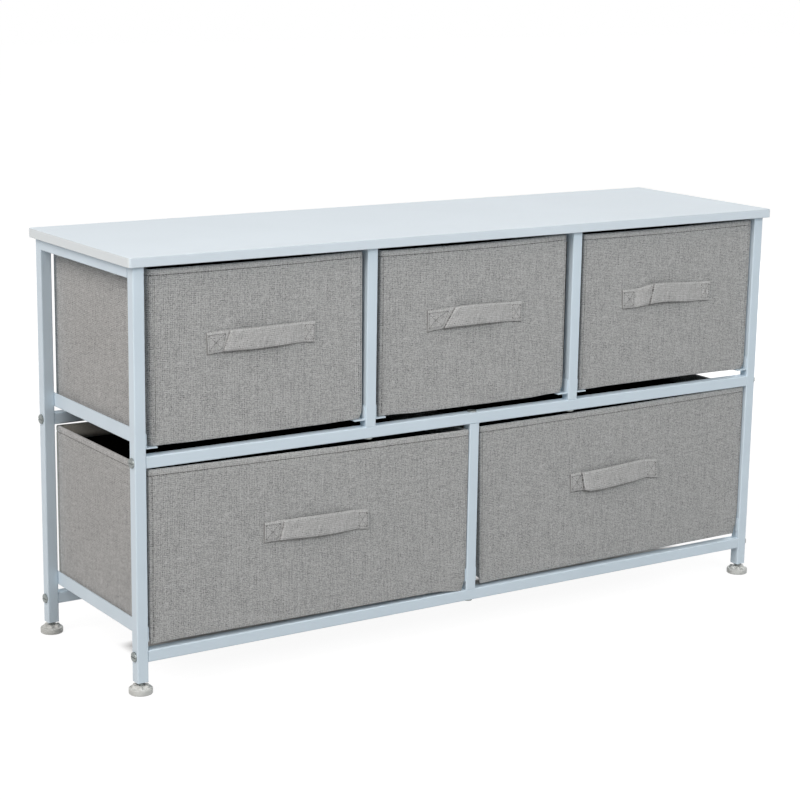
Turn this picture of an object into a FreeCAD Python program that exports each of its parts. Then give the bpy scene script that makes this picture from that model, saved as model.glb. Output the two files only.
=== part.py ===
import FreeCAD, Part
import os

# A chest of five fabric drawers in a steel tube frame under a board top.
# Millimetres, +Z up, front towards -Y. The origin is on the floor under the middle of the board.

# ---- board top ----
TOP_WIDTH = 1000.0
TOP_DEPTH = 290.0
TOP_THICKNESS = 12.0
TOP_CORNER_RADIUS = 4.0
TOP_EDGE_RADIUS = 1.0

# ---- square steel tube and the frame made of it ----
TUBE = 15.0
TUBE_WALL = 1.0
TUBE_CORNER_RADIUS = 1.6
SIDE_OVERHANG = 8.0
FRONT_OVERHANG = 7.0
REAR_OVERHANG = 4.0
LEG_LENGTH = 510.0
LEG_LIFT = 15.0
MIDDLE_RAIL_TOP = 297.0
BOTTOM_RAIL_TOP = 55.0

# ---- folded steel runners ----
SHEET = 1.5
RUNNER_HEIGHT = 18.5
RUNNER_LIP = 16.0
RUNNER_BEND_RADIUS = 2.0
RUNNER_FRONT_SETBACK = 2.0
RUNNER_REAR_EXTENSION = 1.0
RUNNER_STOP_HEIGHT = 9.0
UPPER_RUNNER_RISE = 8.5
LOWER_RUNNER_RISE = 10.5
LOWER_LIP_CLEARANCE = 4.0

# ---- fabric drawers ----
DRAWER_FRONT_SETBACK = 8.0
DRAWER_CORNER_RADIUS = 4.0
UPPER_HEADROOM = 5.2
BOLT_HEAD_CLEARANCE = 0.4
UPPER_SIDE_CLEARANCE = 5.5
LOWER_SIDE_CLEARANCE = 2.5
DRAWER_STOP_CLEARANCE = 0.5
RUNNING_GAP = 0.3
COVER = 1.2
WALL_BOARD = 2.4
BASE_BOARD = 3.0
LINING = 0.8
LOWER_FRONT_DROP = 4.8
UPPER_PULLED = 3.0
LOWER_LEFT_PULLED = 7.0
LOWER_RIGHT_PULLED = 3.5

# ---- strap handles ----
STRAP_LENGTH = 152.0
STRAP_WIDTH = 25.0
STRAP_THICKNESS = 1.6
STRAP_SEWN_END = 22.0
STRAP_RAMP = 12.0
STRAP_FINGER_GAP = 6.0
UPPER_STRAP_HEIGHT = 117.0
LOWER_STRAP_HEIGHT = 112.5
UPPER_LEFT_STRAP_SHIFT = 6.0
LOWER_LEFT_STRAP_SHIFT = 3.5

# ---- bolts, plugs and screws ----
BOLT_RADIUS = 3.0
BOLT_HOLE_CLEARANCE = 0.3
THREAD_CLEARANCE = 0.05
LEG_BOLT_HEAD_RADIUS = 6.2
LEG_BOLT_HEAD_HEIGHT = 2.8
LEG_BOLT_SLOT_WIDTH = 1.2
LEG_BOLT_SLOT_DEPTH = 1.0
LOW_HEAD_RADIUS = 6.0
LOW_HEAD_HEIGHT = 1.8
BOLT_REACH_PAST_PLUG = 3.0
PLUG_LENGTH = 6.0
SCREW_RADIUS = 2.0
SCREW_HEAD_RADIUS = 4.0
SCREW_HEAD_HEIGHT = 2.4
SCREW_BITE = 8.0
SCREW_TIP_CLEARANCE = 0.3
SCREW_END_DISTANCE = 60.0

# ---- levelling feet ----
PAD_RADIUS = 14.0
PAD_RIM_HEIGHT = 6.5
PAD_RIM_RADIUS = 1.5
HUB_RADIUS = 9.5
HUB_HEIGHT = 4.5
HUB_EDGE_RADIUS = 1.5
STUD_RADIUS = 4.0
STUD_SEAT = 3.0
STUD_LENGTH = 36.0
STUD_CLEARANCE = 0.08
INSERT_LENGTH = 14.0
INSERT_COLLAR = 1.2
INSERT_COLLAR_RADIUS = 6.3

# ---- places worked out from the sizes above ----
TOP_UNDERSIDE = LEG_LIFT + LEG_LENGTH
LEG_OUTER_X = TOP_WIDTH / 2 - SIDE_OVERHANG
LEG_INNER_X = LEG_OUTER_X - TUBE
LEG_FRONT_Y = -TOP_DEPTH / 2 + FRONT_OVERHANG
LEG_REAR_Y = TOP_DEPTH / 2 - REAR_OVERHANG
FRONT_TUBE_MIDDLE_Y = LEG_FRONT_Y + TUBE / 2
REAR_TUBE_MIDDLE_Y = LEG_REAR_Y - TUBE / 2
TUBE_BORE = TUBE - 2 * TUBE_WALL
TUBE_BORE_RADIUS = TUBE_CORNER_RADIUS - TUBE_WALL
FRAME_OPENING = 2 * LEG_INNER_X
UPPER_BAY = (FRAME_OPENING - 2 * TUBE) / 3
LOWER_BAY = (FRAME_OPENING - TUBE) / 2
UPPER_DIVIDER_X = UPPER_BAY / 2 + TUBE / 2
UPPER_RUNNER_Z = MIDDLE_RAIL_TOP + UPPER_RUNNER_RISE
LOWER_RUNNER_Z = BOTTOM_RAIL_TOP + LOWER_RUNNER_RISE
RUNNER_FRONT_Y = LEG_FRONT_Y + RUNNER_FRONT_SETBACK
RUNNER_REAR_Y = LEG_REAR_Y + RUNNER_REAR_EXTENSION
CLOSED_DRAWER_REAR_Y = RUNNER_REAR_Y - SHEET - DRAWER_STOP_CLEARANCE
CLOSED_DRAWER_FRONT_Y = LEG_FRONT_Y + DRAWER_FRONT_SETBACK
DRAWER_DEPTH = CLOSED_DRAWER_REAR_Y - CLOSED_DRAWER_FRONT_Y
DRAWER_WALL = COVER + WALL_BOARD + LINING
LOWER_LIP_FRONT_Y = CLOSED_DRAWER_FRONT_Y + DRAWER_WALL + LOWER_LIP_CLEARANCE
UPPER_DRAWER_WIDTH = UPPER_BAY - 2 * (SHEET + UPPER_SIDE_CLEARANCE)
LOWER_DRAWER_WIDTH = LOWER_BAY - 2 * (SHEET + LOWER_SIDE_CLEARANCE)
UPPER_DRAWER_Z = UPPER_RUNNER_Z + SHEET + RUNNING_GAP
UPPER_DRAWER_TOP = TOP_UNDERSIDE - UPPER_HEADROOM
LOWER_DRAWER_Z = LOWER_RUNNER_Z + SHEET + RUNNING_GAP
LOWER_DRAWER_TOP = MIDDLE_RAIL_TOP - TUBE - LOW_HEAD_HEIGHT - BOLT_HEAD_CLEARANCE
UPPER_DRAWER_PITCH = UPPER_BAY + TUBE
LOWER_DRAWER_X = LOWER_BAY / 2 + TUBE / 2
CUT_PAST = 1.0

X_AXIS = FreeCAD.Vector(1, 0, 0)
Y_AXIS = FreeCAD.Vector(0, 1, 0)
Z_AXIS = FreeCAD.Vector(0, 0, 1)


# ---- helpers ----
def block(x_range, y_range, z_range):
    """A box between two X, two Y and two Z values."""
    low = FreeCAD.Vector(min(x_range), min(y_range), min(z_range))
    high = FreeCAD.Vector(max(x_range), max(y_range), max(z_range))
    size = high - low
    return Part.makeBox(size.x, size.y, size.z, low)


def edges_along(shape, axis):
    """The straight edges of a shape that run along an axis."""
    found = []
    for edge in shape.Edges:
        run = edge.lastVertex().Point - edge.firstVertex().Point
        if run.Length > 0 and abs(abs(run.normalize().dot(axis)) - 1) < 1e-6:
            found.append(edge)
    return found


def rounded_block(x_range, y_range, z_range, axis, radius):
    """A box whose four edges along an axis are rounded."""
    shape = block(x_range, y_range, z_range)
    return shape.makeFillet(radius, edges_along(shape, axis))


def rod(start, axis, radius, length):
    """A cylinder from a start point along an axis; a negative length runs the other way."""
    direction = axis if length > 0 else axis * -1
    return Part.makeCylinder(radius, abs(length), start, direction)


def square_tube(x_range, y_range, z_range, axis):
    """A square tube that fills the given ranges, hollow from end to end along the axis."""
    outer = rounded_block(x_range, y_range, z_range, axis, TUBE_CORNER_RADIUS)
    ranges = []
    for values, unit in ((x_range, X_AXIS), (y_range, Y_AXIS), (z_range, Z_AXIS)):
        inset = -CUT_PAST if unit == axis else TUBE_WALL
        ranges.append((min(values) + inset, max(values) - inset))
    return outer.cut(rounded_block(*ranges, axis, TUBE_BORE_RADIUS))


def drill(shape, start, axis, radius, length):
    """Cuts a round hole through a shape, running past both of its ends."""
    sign = 1 if length > 0 else -1
    past = FreeCAD.Vector(axis) * (-sign * CUT_PAST)
    return shape.cut(rod(start + past, axis, radius, length + 2 * sign * CUT_PAST))


def save(name, *solids):
    """Writes one node; a node of several separate solids is a compound."""
    shape = solids[0] if len(solids) == 1 else Part.makeCompound(list(solids))
    shape.exportStep("parts/" + name + ".step")


# ---- board top ----
def screw_places():
    """Where the screws go up through the four top rails into the board."""
    front = LEG_FRONT_Y + SCREW_END_DISTANCE
    rear = LEG_REAR_Y - SCREW_END_DISTANCE
    side = LEG_OUTER_X - TUBE / 2
    rail_middles = (-side, -UPPER_DIVIDER_X, UPPER_DIVIDER_X, side)
    return [(x, y) for x in rail_middles for y in (front, rear)]


def make_tabletop():
    x_range = (-TOP_WIDTH / 2, TOP_WIDTH / 2)
    y_range = (-TOP_DEPTH / 2, TOP_DEPTH / 2)
    z_range = (TOP_UNDERSIDE, TOP_UNDERSIDE + TOP_THICKNESS)
    board = rounded_block(x_range, y_range, z_range, Z_AXIS, TOP_CORNER_RADIUS)
    top_face = max(board.Faces, key=lambda face: face.CenterOfMass.z)
    bottom_face = min(board.Faces, key=lambda face: face.CenterOfMass.z)
    board = board.makeFillet(TOP_EDGE_RADIUS, top_face.Edges + bottom_face.Edges)
    for x, y in screw_places():
        start = FreeCAD.Vector(x, y, TOP_UNDERSIDE - CUT_PAST)
        depth = CUT_PAST + SCREW_BITE + SCREW_TIP_CLEARANCE
        board = board.cut(rod(start, Z_AXIS, SCREW_RADIUS + THREAD_CLEARANCE, depth))
    save("tabletop", board)


# ---- legs, posts and top rails ----
def tube_places(front):
    """The front and back of a row of tubes, at the front or the rear of the frame."""
    return (LEG_FRONT_Y, LEG_FRONT_Y + TUBE) if front else (LEG_REAR_Y - TUBE, LEG_REAR_Y)


def rail_bolt_heights():
    """The heights of the middle lines of the middle and bottom rails."""
    return (MIDDLE_RAIL_TOP - TUBE / 2, BOTTOM_RAIL_TOP - TUBE / 2)


def make_leg(name, side, front):
    x_range = (side * LEG_INNER_X, side * LEG_OUTER_X)
    leg = square_tube(x_range, tube_places(front), (LEG_LIFT, TOP_UNDERSIDE), Z_AXIS)
    middle_y = FRONT_TUBE_MIDDLE_Y if front else REAR_TUBE_MIDDLE_Y
    for z in rail_bolt_heights():
        start = FreeCAD.Vector(side * LEG_INNER_X, middle_y, z)
        leg = drill(leg, start, X_AXIS, BOLT_RADIUS + BOLT_HOLE_CLEARANCE, side * TUBE)
    save(name, leg)


def make_post(name, x, front, z_range):
    save(name, square_tube((x - TUBE / 2, x + TUBE / 2), tube_places(front), z_range, Z_AXIS))


def make_top_rail(name, x):
    x_range = (x - TUBE / 2, x + TUBE / 2)
    y_range = (LEG_FRONT_Y + TUBE, LEG_REAR_Y - TUBE)
    rail = square_tube(x_range, y_range, (TOP_UNDERSIDE - TUBE, TOP_UNDERSIDE), Y_AXIS)
    for screw_x, screw_y in screw_places():
        if abs(screw_x - x) < TUBE / 2:
            start = FreeCAD.Vector(screw_x, screw_y, TOP_UNDERSIDE - TUBE)
            rail = drill(rail, start, Z_AXIS, SCREW_RADIUS + BOLT_HOLE_CLEARANCE, TUBE)
    save(name, rail)


# ---- long rails between the legs ----
def make_long_rail(name, front, top, post_places):
    y_range = tube_places(front)
    rail = square_tube((-LEG_INNER_X, LEG_INNER_X), y_range, (top - TUBE, top), X_AXIS)
    for x in post_places:
        start = FreeCAD.Vector(x, sum(y_range) / 2, top - TUBE)
        rail = drill(rail, start, Z_AXIS, BOLT_RADIUS + BOLT_HOLE_CLEARANCE, TUBE)
    save(name, rail)


# ---- runners ----
def make_runner(name, face_x, side, bottom, lip_front_y):
    """An angle on the face of a leg or post: its lip points to the side that is given, +1 or -1."""
    sheet_x = (face_x, face_x + side * SHEET)
    lip_x = (face_x, face_x + side * RUNNER_LIP)
    upright = block(sheet_x, (RUNNER_FRONT_Y, RUNNER_REAR_Y), (bottom, bottom + RUNNER_HEIGHT))
    lip = block(lip_x, (lip_front_y, RUNNER_REAR_Y), (bottom, bottom + SHEET))
    angle = upright.fuse(lip).removeSplitter()
    bend = []
    for edge in edges_along(angle, Y_AXIS):
        middle = edge.CenterOfMass
        if abs(middle.x - face_x) < 1e-6 and abs(middle.z - bottom) < 1e-6:
            bend.append(edge)
    angle = angle.makeFillet(RUNNER_BEND_RADIUS, bend)
    stop_x = (face_x + side * RUNNER_BEND_RADIUS, face_x + side * RUNNER_LIP)
    stop_y = (RUNNER_REAR_Y - SHEET, RUNNER_REAR_Y)
    stop = block(stop_x, stop_y, (bottom, bottom + RUNNER_STOP_HEIGHT))
    save(name, angle.fuse(stop).removeSplitter())


# ---- bolts, plugs and screws ----
def low_head_bolt(x, y, head_face, direction):
    """A bolt along Z with a low round head that bears on head_face; direction is +1 upwards."""
    start = FreeCAD.Vector(x, y, head_face)
    reach = direction * (TUBE + PLUG_LENGTH + BOLT_REACH_PAST_PLUG)
    shank = rod(start, Z_AXIS, BOLT_RADIUS, reach)
    head = rod(start, Z_AXIS, LOW_HEAD_RADIUS, -direction * LOW_HEAD_HEIGHT)
    return shank.fuse(head).removeSplitter()


def leg_bolt(side, y, z):
    """A slotted pan-head bolt that goes in from the outer face of a leg."""
    start = FreeCAD.Vector(side * LEG_OUTER_X, y, z)
    shank = rod(start, X_AXIS, BOLT_RADIUS, -side * (TUBE + PLUG_LENGTH + BOLT_REACH_PAST_PLUG))
    head = rod(start, X_AXIS, LEG_BOLT_HEAD_RADIUS, side * LEG_BOLT_HEAD_HEIGHT)
    outer_rim = max(head.Edges, key=lambda edge: side * edge.CenterOfMass.x)
    head = head.makeFillet(LEG_BOLT_HEAD_HEIGHT / 2, [outer_rim])
    end_x = side * (LEG_OUTER_X + LEG_BOLT_HEAD_HEIGHT)
    slot_x = (end_x - side * LEG_BOLT_SLOT_DEPTH, end_x + side * CUT_PAST)
    slot_y = (y - LEG_BOLT_HEAD_RADIUS, y + LEG_BOLT_HEAD_RADIUS)
    slot = block(slot_x, slot_y, (z - LEG_BOLT_SLOT_WIDTH / 2, z + LEG_BOLT_SLOT_WIDTH / 2))
    return shank.fuse(head).removeSplitter().cut(slot)


def make_leg_bolts():
    middles = (FRONT_TUBE_MIDDLE_Y, REAR_TUBE_MIDDLE_Y)
    bolts = [leg_bolt(side, y, z) for side in (-1, 1) for y in middles for z in rail_bolt_heights()]
    save("leg_bolts", *bolts)


def make_divider_bolts():
    bolts = []
    for y in (FRONT_TUBE_MIDDLE_Y, REAR_TUBE_MIDDLE_Y):
        for x in (-UPPER_DIVIDER_X, UPPER_DIVIDER_X):
            bolts.append(low_head_bolt(x, y, MIDDLE_RAIL_TOP - TUBE, 1))
        bolts.append(low_head_bolt(0, y, MIDDLE_RAIL_TOP, -1))
        bolts.append(low_head_bolt(0, y, BOTTOM_RAIL_TOP - TUBE, 1))
    save("divider_bolts", *bolts)


def end_plug(middle, axis, direction):
    """A threaded square plug that fills the end of a tube; direction points into the tube."""
    half = TUBE_BORE / 2
    ranges = []
    for value, unit in ((middle.x, X_AXIS), (middle.y, Y_AXIS), (middle.z, Z_AXIS)):
        along = unit == axis
        ranges.append((value, value + direction * PLUG_LENGTH) if along else (value - half, value + half))
    plug = rounded_block(*ranges, axis, TUBE_BORE_RADIUS)
    return drill(plug, middle, axis, BOLT_RADIUS + THREAD_CLEARANCE, direction * PLUG_LENGTH)


def make_end_plugs():
    plugs = []
    for y in (FRONT_TUBE_MIDDLE_Y, REAR_TUBE_MIDDLE_Y):
        for z in rail_bolt_heights():
            plugs.append(end_plug(FreeCAD.Vector(-LEG_INNER_X, y, z), X_AXIS, 1))
            plugs.append(end_plug(FreeCAD.Vector(LEG_INNER_X, y, z), X_AXIS, -1))
        for x in (-UPPER_DIVIDER_X, UPPER_DIVIDER_X):
            plugs.append(end_plug(FreeCAD.Vector(x, y, MIDDLE_RAIL_TOP), Z_AXIS, 1))
        plugs.append(end_plug(FreeCAD.Vector(0, y, MIDDLE_RAIL_TOP - TUBE), Z_AXIS, -1))
        plugs.append(end_plug(FreeCAD.Vector(0, y, BOTTOM_RAIL_TOP), Z_AXIS, 1))
    save("threaded_end_plugs", *plugs)


def make_tabletop_screws():
    screws = []
    for x, y in screw_places():
        start = FreeCAD.Vector(x, y, TOP_UNDERSIDE - TUBE)
        shank = rod(start, Z_AXIS, SCREW_RADIUS, TUBE + SCREW_BITE)
        head = rod(start, Z_AXIS, SCREW_HEAD_RADIUS, -SCREW_HEAD_HEIGHT)
        screws.append(shank.fuse(head).removeSplitter())
    save("tabletop_screws", *screws)


# ---- levelling feet ----
def leg_middles():
    """The corner names and the middle lines of the four legs."""
    x = LEG_OUTER_X - TUBE / 2
    return {
        "front_left": (-x, FRONT_TUBE_MIDDLE_Y),
        "front_right": (x, FRONT_TUBE_MIDDLE_Y),
        "rear_left": (-x, REAR_TUBE_MIDDLE_Y),
        "rear_right": (x, REAR_TUBE_MIDDLE_Y),
    }


def make_leg_inserts():
    """The threaded inserts in the leg ends, each with a round collar under the tube."""
    inserts = []
    half = TUBE_BORE / 2
    for x, y in leg_middles().values():
        z_range = (LEG_LIFT, LEG_LIFT + INSERT_LENGTH)
        body = rounded_block((x - half, x + half), (y - half, y + half), z_range, Z_AXIS, TUBE_BORE_RADIUS)
        collar = rod(FreeCAD.Vector(x, y, LEG_LIFT), Z_AXIS, INSERT_COLLAR_RADIUS, -INSERT_COLLAR)
        insert = body.fuse(collar).removeSplitter()
        start = FreeCAD.Vector(x, y, LEG_LIFT - INSERT_COLLAR)
        length = INSERT_LENGTH + INSERT_COLLAR
        inserts.append(drill(insert, start, Z_AXIS, STUD_RADIUS + STUD_CLEARANCE, length))
    save("leg_inserts", *inserts)


def make_foot(name, x, y):
    """A plastic pad with a raised hub, and the steel stud that stands in it."""
    rim = rod(FreeCAD.Vector(x, y, 0), Z_AXIS, PAD_RADIUS, PAD_RIM_HEIGHT)
    rim = rim.makeFillet(PAD_RIM_RADIUS, [edge for edge in rim.Edges if len(edge.Vertexes) == 1])
    hub = rod(FreeCAD.Vector(x, y, PAD_RIM_HEIGHT), Z_AXIS, HUB_RADIUS, HUB_HEIGHT)
    hub = hub.makeFillet(HUB_EDGE_RADIUS, [max(hub.Edges, key=lambda edge: edge.CenterOfMass.z)])
    seat = FreeCAD.Vector(x, y, STUD_SEAT)
    bore_length = PAD_RIM_HEIGHT + HUB_HEIGHT - STUD_SEAT + CUT_PAST
    pad = rim.fuse(hub).removeSplitter()
    pad = pad.cut(rod(seat, Z_AXIS, STUD_RADIUS + THREAD_CLEARANCE, bore_length))
    stud = rod(seat, Z_AXIS, STUD_RADIUS, STUD_LENGTH)
    save(name, pad, stud)


# ---- drawers ----
def drawer_shell(middle_x, front_y, width, inset, z_range, radius):
    """An upright block as large as a drawer, less an inset all round, with rounded corners."""
    x_range = (middle_x - width / 2 + inset, middle_x + width / 2 - inset)
    y_range = (front_y + inset, front_y + DRAWER_DEPTH - inset)
    return rounded_block(x_range, y_range, z_range, Z_AXIS, radius)


def make_cover(name, middle_x, front_y, width, z_range, front_drop):
    """The woven cover: outer walls, underside, and a hem that closes the top edge of the walls.

    The front of a lower drawer also hangs below the underside, in front of the lips.
    """
    bottom, top = z_range
    bag = drawer_shell(middle_x, front_y, width, 0, z_range, DRAWER_CORNER_RADIUS)
    inside = (bottom + COVER, top - COVER)
    bag = bag.cut(drawer_shell(middle_x, front_y, width, COVER, inside, DRAWER_CORNER_RADIUS - COVER))
    mouth = (top - COVER - CUT_PAST, top + CUT_PAST)
    bag = bag.cut(drawer_shell(middle_x, front_y, width, DRAWER_WALL, mouth, LINING))
    if front_drop > 0:
        reach = width / 2 - DRAWER_CORNER_RADIUS
        hem_y = (front_y, front_y + COVER + WALL_BOARD)
        hem = block((middle_x - reach, middle_x + reach), hem_y, (bottom - front_drop, bottom + COVER))
        bag = bag.fuse(hem).removeSplitter()
    save(name, bag)


def make_boards(name, middle_x, front_y, width, z_range):
    """Four wall boards and a base board, separate pieces between the cover and the lining."""
    bottom, top = z_range
    rear_y = front_y + DRAWER_DEPTH
    left_x = middle_x - width / 2
    right_x = middle_x + width / 2
    upright = (bottom + COVER, top - COVER)
    wall = COVER + WALL_BOARD
    long_wall = (left_x + DRAWER_CORNER_RADIUS, right_x - DRAWER_CORNER_RADIUS)
    deep_wall = (front_y + DRAWER_CORNER_RADIUS, rear_y - DRAWER_CORNER_RADIUS)
    front = block(long_wall, (front_y + COVER, front_y + wall), upright)
    rear = block(long_wall, (rear_y - wall, rear_y - COVER), upright)
    left = block((left_x + COVER, left_x + wall), deep_wall, upright)
    right = block((right_x - wall, right_x - COVER), deep_wall, upright)
    base_z = (bottom + COVER, bottom + COVER + BASE_BOARD)
    base = block((left_x + wall, right_x - wall), (front_y + wall, rear_y - wall), base_z)
    save(name, front, rear, left, right, base)


def make_lining(name, middle_x, front_y, width, z_range):
    """The inner cloth: a bag that stands on the base board and ends under the hem."""
    floor = z_range[0] + COVER + BASE_BOARD
    rim = z_range[1] - COVER
    outside = COVER + WALL_BOARD
    bag = drawer_shell(middle_x, front_y, width, outside, (floor, rim), 2 * LINING)
    hollow = (floor + LINING, rim + CUT_PAST)
    save(name, bag.cut(drawer_shell(middle_x, front_y, width, outside + LINING, hollow, LINING)))


def make_handle(name, middle_x, front_y, middle_z):
    """A strap sewn flat at both ends that stands off the front between them."""
    half = STRAP_LENGTH / 2
    sewn = half - STRAP_SEWN_END
    raised = sewn - STRAP_RAMP
    lift = STRAP_FINGER_GAP
    back = [(-half, 0), (-sewn, 0), (-raised, lift), (raised, lift), (sewn, 0), (half, 0)]
    outer = [(x, rise + STRAP_THICKNESS) for x, rise in reversed(back)]
    z = middle_z - STRAP_WIDTH / 2
    points = [FreeCAD.Vector(middle_x + x, front_y - rise, z) for x, rise in back + outer]
    outline = Part.makePolygon(points + [points[0]])
    strap = Part.Face(outline).extrude(Z_AXIS * STRAP_WIDTH)
    save(name, strap)


def make_upper_drawer(name, middle_x, strap_shift):
    front_y = CLOSED_DRAWER_FRONT_Y - UPPER_PULLED
    z_range = (UPPER_DRAWER_Z, UPPER_DRAWER_TOP)
    make_cover(name + "_cover", middle_x, front_y, UPPER_DRAWER_WIDTH, z_range, 0)
    make_boards(name + "_boards", middle_x, front_y, UPPER_DRAWER_WIDTH, z_range)
    make_lining(name + "_lining", middle_x, front_y, UPPER_DRAWER_WIDTH, z_range)
    make_handle(name + "_handle", middle_x + strap_shift, front_y, UPPER_DRAWER_Z + UPPER_STRAP_HEIGHT)


def make_lower_drawer(name, middle_x, pulled, strap_shift):
    front_y = CLOSED_DRAWER_FRONT_Y - pulled
    z_range = (LOWER_DRAWER_Z, LOWER_DRAWER_TOP)
    make_cover(name + "_cover", middle_x, front_y, LOWER_DRAWER_WIDTH, z_range, LOWER_FRONT_DROP)
    make_boards(name + "_boards", middle_x, front_y, LOWER_DRAWER_WIDTH, z_range)
    make_lining(name + "_lining", middle_x, front_y, LOWER_DRAWER_WIDTH, z_range)
    make_handle(name + "_handle", middle_x + strap_shift, front_y, LOWER_DRAWER_Z + LOWER_STRAP_HEIGHT)


# ---- the whole chest ----
def make_frame():
    for corner, (x, y) in leg_middles().items():
        make_leg("leg_" + corner, -1 if x < 0 else 1, y < 0)
    for word, side in (("left", -1), ("right", 1)):
        make_top_rail("side_top_rail_" + word, side * (LEG_OUTER_X - TUBE / 2))
        face_x = side * LEG_INNER_X
        make_runner("upper_side_runner_" + word, face_x, -side, UPPER_RUNNER_Z, RUNNER_FRONT_Y)
        make_runner("lower_side_runner_" + word, face_x, -side, LOWER_RUNNER_Z, LOWER_LIP_FRONT_Y)
    for word, front in (("front", True), ("rear", False)):
        upper_posts = (-UPPER_DIVIDER_X, 0, UPPER_DIVIDER_X)
        make_long_rail(word + "_middle_rail", front, MIDDLE_RAIL_TOP, upper_posts)
        make_long_rail(word + "_bottom_rail", front, BOTTOM_RAIL_TOP, (0,))


def make_dividers():
    upper_z = (MIDDLE_RAIL_TOP, TOP_UNDERSIDE)
    lower_z = (BOTTOM_RAIL_TOP, MIDDLE_RAIL_TOP - TUBE)
    dividers = (
        ("upper_divider_left", -UPPER_DIVIDER_X, upper_z, UPPER_RUNNER_Z, RUNNER_FRONT_Y),
        ("upper_divider_right", UPPER_DIVIDER_X, upper_z, UPPER_RUNNER_Z, RUNNER_FRONT_Y),
        ("lower_divider", 0, lower_z, LOWER_RUNNER_Z, LOWER_LIP_FRONT_Y),
    )
    for name, x, z_range, runner_z, lip_front_y in dividers:
        make_post(name + "_front_post", x, True, z_range)
        make_post(name + "_rear_post", x, False, z_range)
        make_runner(name + "_runner_left", x - TUBE / 2, -1, runner_z, lip_front_y)
        make_runner(name + "_runner_right", x + TUBE / 2, 1, runner_z, lip_front_y)
    make_top_rail("upper_divider_left_top_rail", -UPPER_DIVIDER_X)
    make_top_rail("upper_divider_right_top_rail", UPPER_DIVIDER_X)


def make_drawers():
    make_upper_drawer("upper_left_drawer", -UPPER_DRAWER_PITCH, UPPER_LEFT_STRAP_SHIFT)
    make_upper_drawer("upper_middle_drawer", 0, 0)
    make_upper_drawer("upper_right_drawer", UPPER_DRAWER_PITCH, 0)
    make_lower_drawer("lower_left_drawer", -LOWER_DRAWER_X, LOWER_LEFT_PULLED, LOWER_LEFT_STRAP_SHIFT)
    make_lower_drawer("lower_right_drawer", LOWER_DRAWER_X, LOWER_RIGHT_PULLED, 0)


os.makedirs("parts", exist_ok=True)
make_tabletop()
make_frame()
make_dividers()
make_leg_bolts()
make_divider_bolts()
make_end_plugs()
make_tabletop_screws()
make_leg_inserts()
for corner_name, (foot_x, foot_y) in leg_middles().items():
    make_foot("foot_" + corner_name, foot_x, foot_y)
make_drawers()
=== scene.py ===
# %% [markdown]
# # A wide dresser with five fabric drawers
# The dresser is a frame of square steel tube, powder-coated a cold white, under a coated board. Five
# fabric drawers slide on folded steel lips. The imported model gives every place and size. This lesson
# gives the steel, the board and the small parts their finishes, and sews the drawers as cloth pieces.

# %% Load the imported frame
import math
import bmesh
import bpy
from mathutils import Matrix, Vector, noise


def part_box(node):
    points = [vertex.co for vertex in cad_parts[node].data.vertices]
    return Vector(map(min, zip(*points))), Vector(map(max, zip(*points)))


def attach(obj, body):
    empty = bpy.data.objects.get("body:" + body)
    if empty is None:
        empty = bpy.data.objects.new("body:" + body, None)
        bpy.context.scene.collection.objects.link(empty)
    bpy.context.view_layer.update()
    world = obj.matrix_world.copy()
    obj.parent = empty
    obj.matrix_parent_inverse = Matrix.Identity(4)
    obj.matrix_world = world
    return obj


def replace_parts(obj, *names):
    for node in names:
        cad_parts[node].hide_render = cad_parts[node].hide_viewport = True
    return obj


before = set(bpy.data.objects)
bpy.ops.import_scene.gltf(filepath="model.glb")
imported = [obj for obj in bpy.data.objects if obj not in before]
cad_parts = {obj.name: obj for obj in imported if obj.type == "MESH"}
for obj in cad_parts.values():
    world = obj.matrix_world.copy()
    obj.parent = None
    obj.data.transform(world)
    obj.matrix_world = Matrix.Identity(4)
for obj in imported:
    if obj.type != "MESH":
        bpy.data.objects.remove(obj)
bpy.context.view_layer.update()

MM = 0.001

# %% [markdown]
# ## The camera
# The dresser is seen from the front left and a little from above, through a long lens. A long lens keeps
# the upright tubes nearly parallel. A new camera looks straight down, so it is first rolled a little,
# then raised until it looks ahead and slightly down, and last turned towards the dresser.

# %% Camera
CAMERA_PLACE = Vector((-1.52889, -2.27760, 0.89907))
CAMERA_TURN = 0.5829
CAMERA_TILT = 0.2197
CAMERA_ROLL = 0.0158
LENS_MM = 92.62
SENSOR_MM = 36.0

camera_data = bpy.data.cameras.new("camera")
camera_data.lens = LENS_MM
camera_data.sensor_width = SENSOR_MM
camera = bpy.data.objects.new("camera", camera_data)
bpy.context.scene.collection.objects.link(camera)
turned = Matrix.Rotation(-CAMERA_TURN, 4, "Z")
raised = Matrix.Rotation(math.pi / 2 - CAMERA_TILT, 4, "X")
rolled = Matrix.Rotation(CAMERA_ROLL, 4, "Z")
camera.matrix_world = Matrix.Translation(CAMERA_PLACE) @ turned @ raised @ rolled
bpy.context.scene.camera = camera
print("camera looks along", [round(-c, 3) for c in camera.matrix_world.col[2][:3]])

# %% [markdown]
# ## Adding nodes and turning colours to light
# Every finish is a small network of nodes. One helper adds a node, and another feeds its inputs, so each
# finish below reads as a list of what it is made of. Colours are written as the hex values that a screen
# shows, and one function turns them to the linear values that the renderer counts in.

# %% Helpers for finishes
def linear(hex_colour):
    """The linear colour of an sRGB hex value such as "#C1CFD8"."""
    parts = [int(hex_colour[i:i + 2], 16) / 255 for i in (1, 3, 5)]
    return [c / 12.92 if c <= 0.04045 else ((c + 0.055) / 1.055) ** 2.4 for c in parts] + [1.0]


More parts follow.
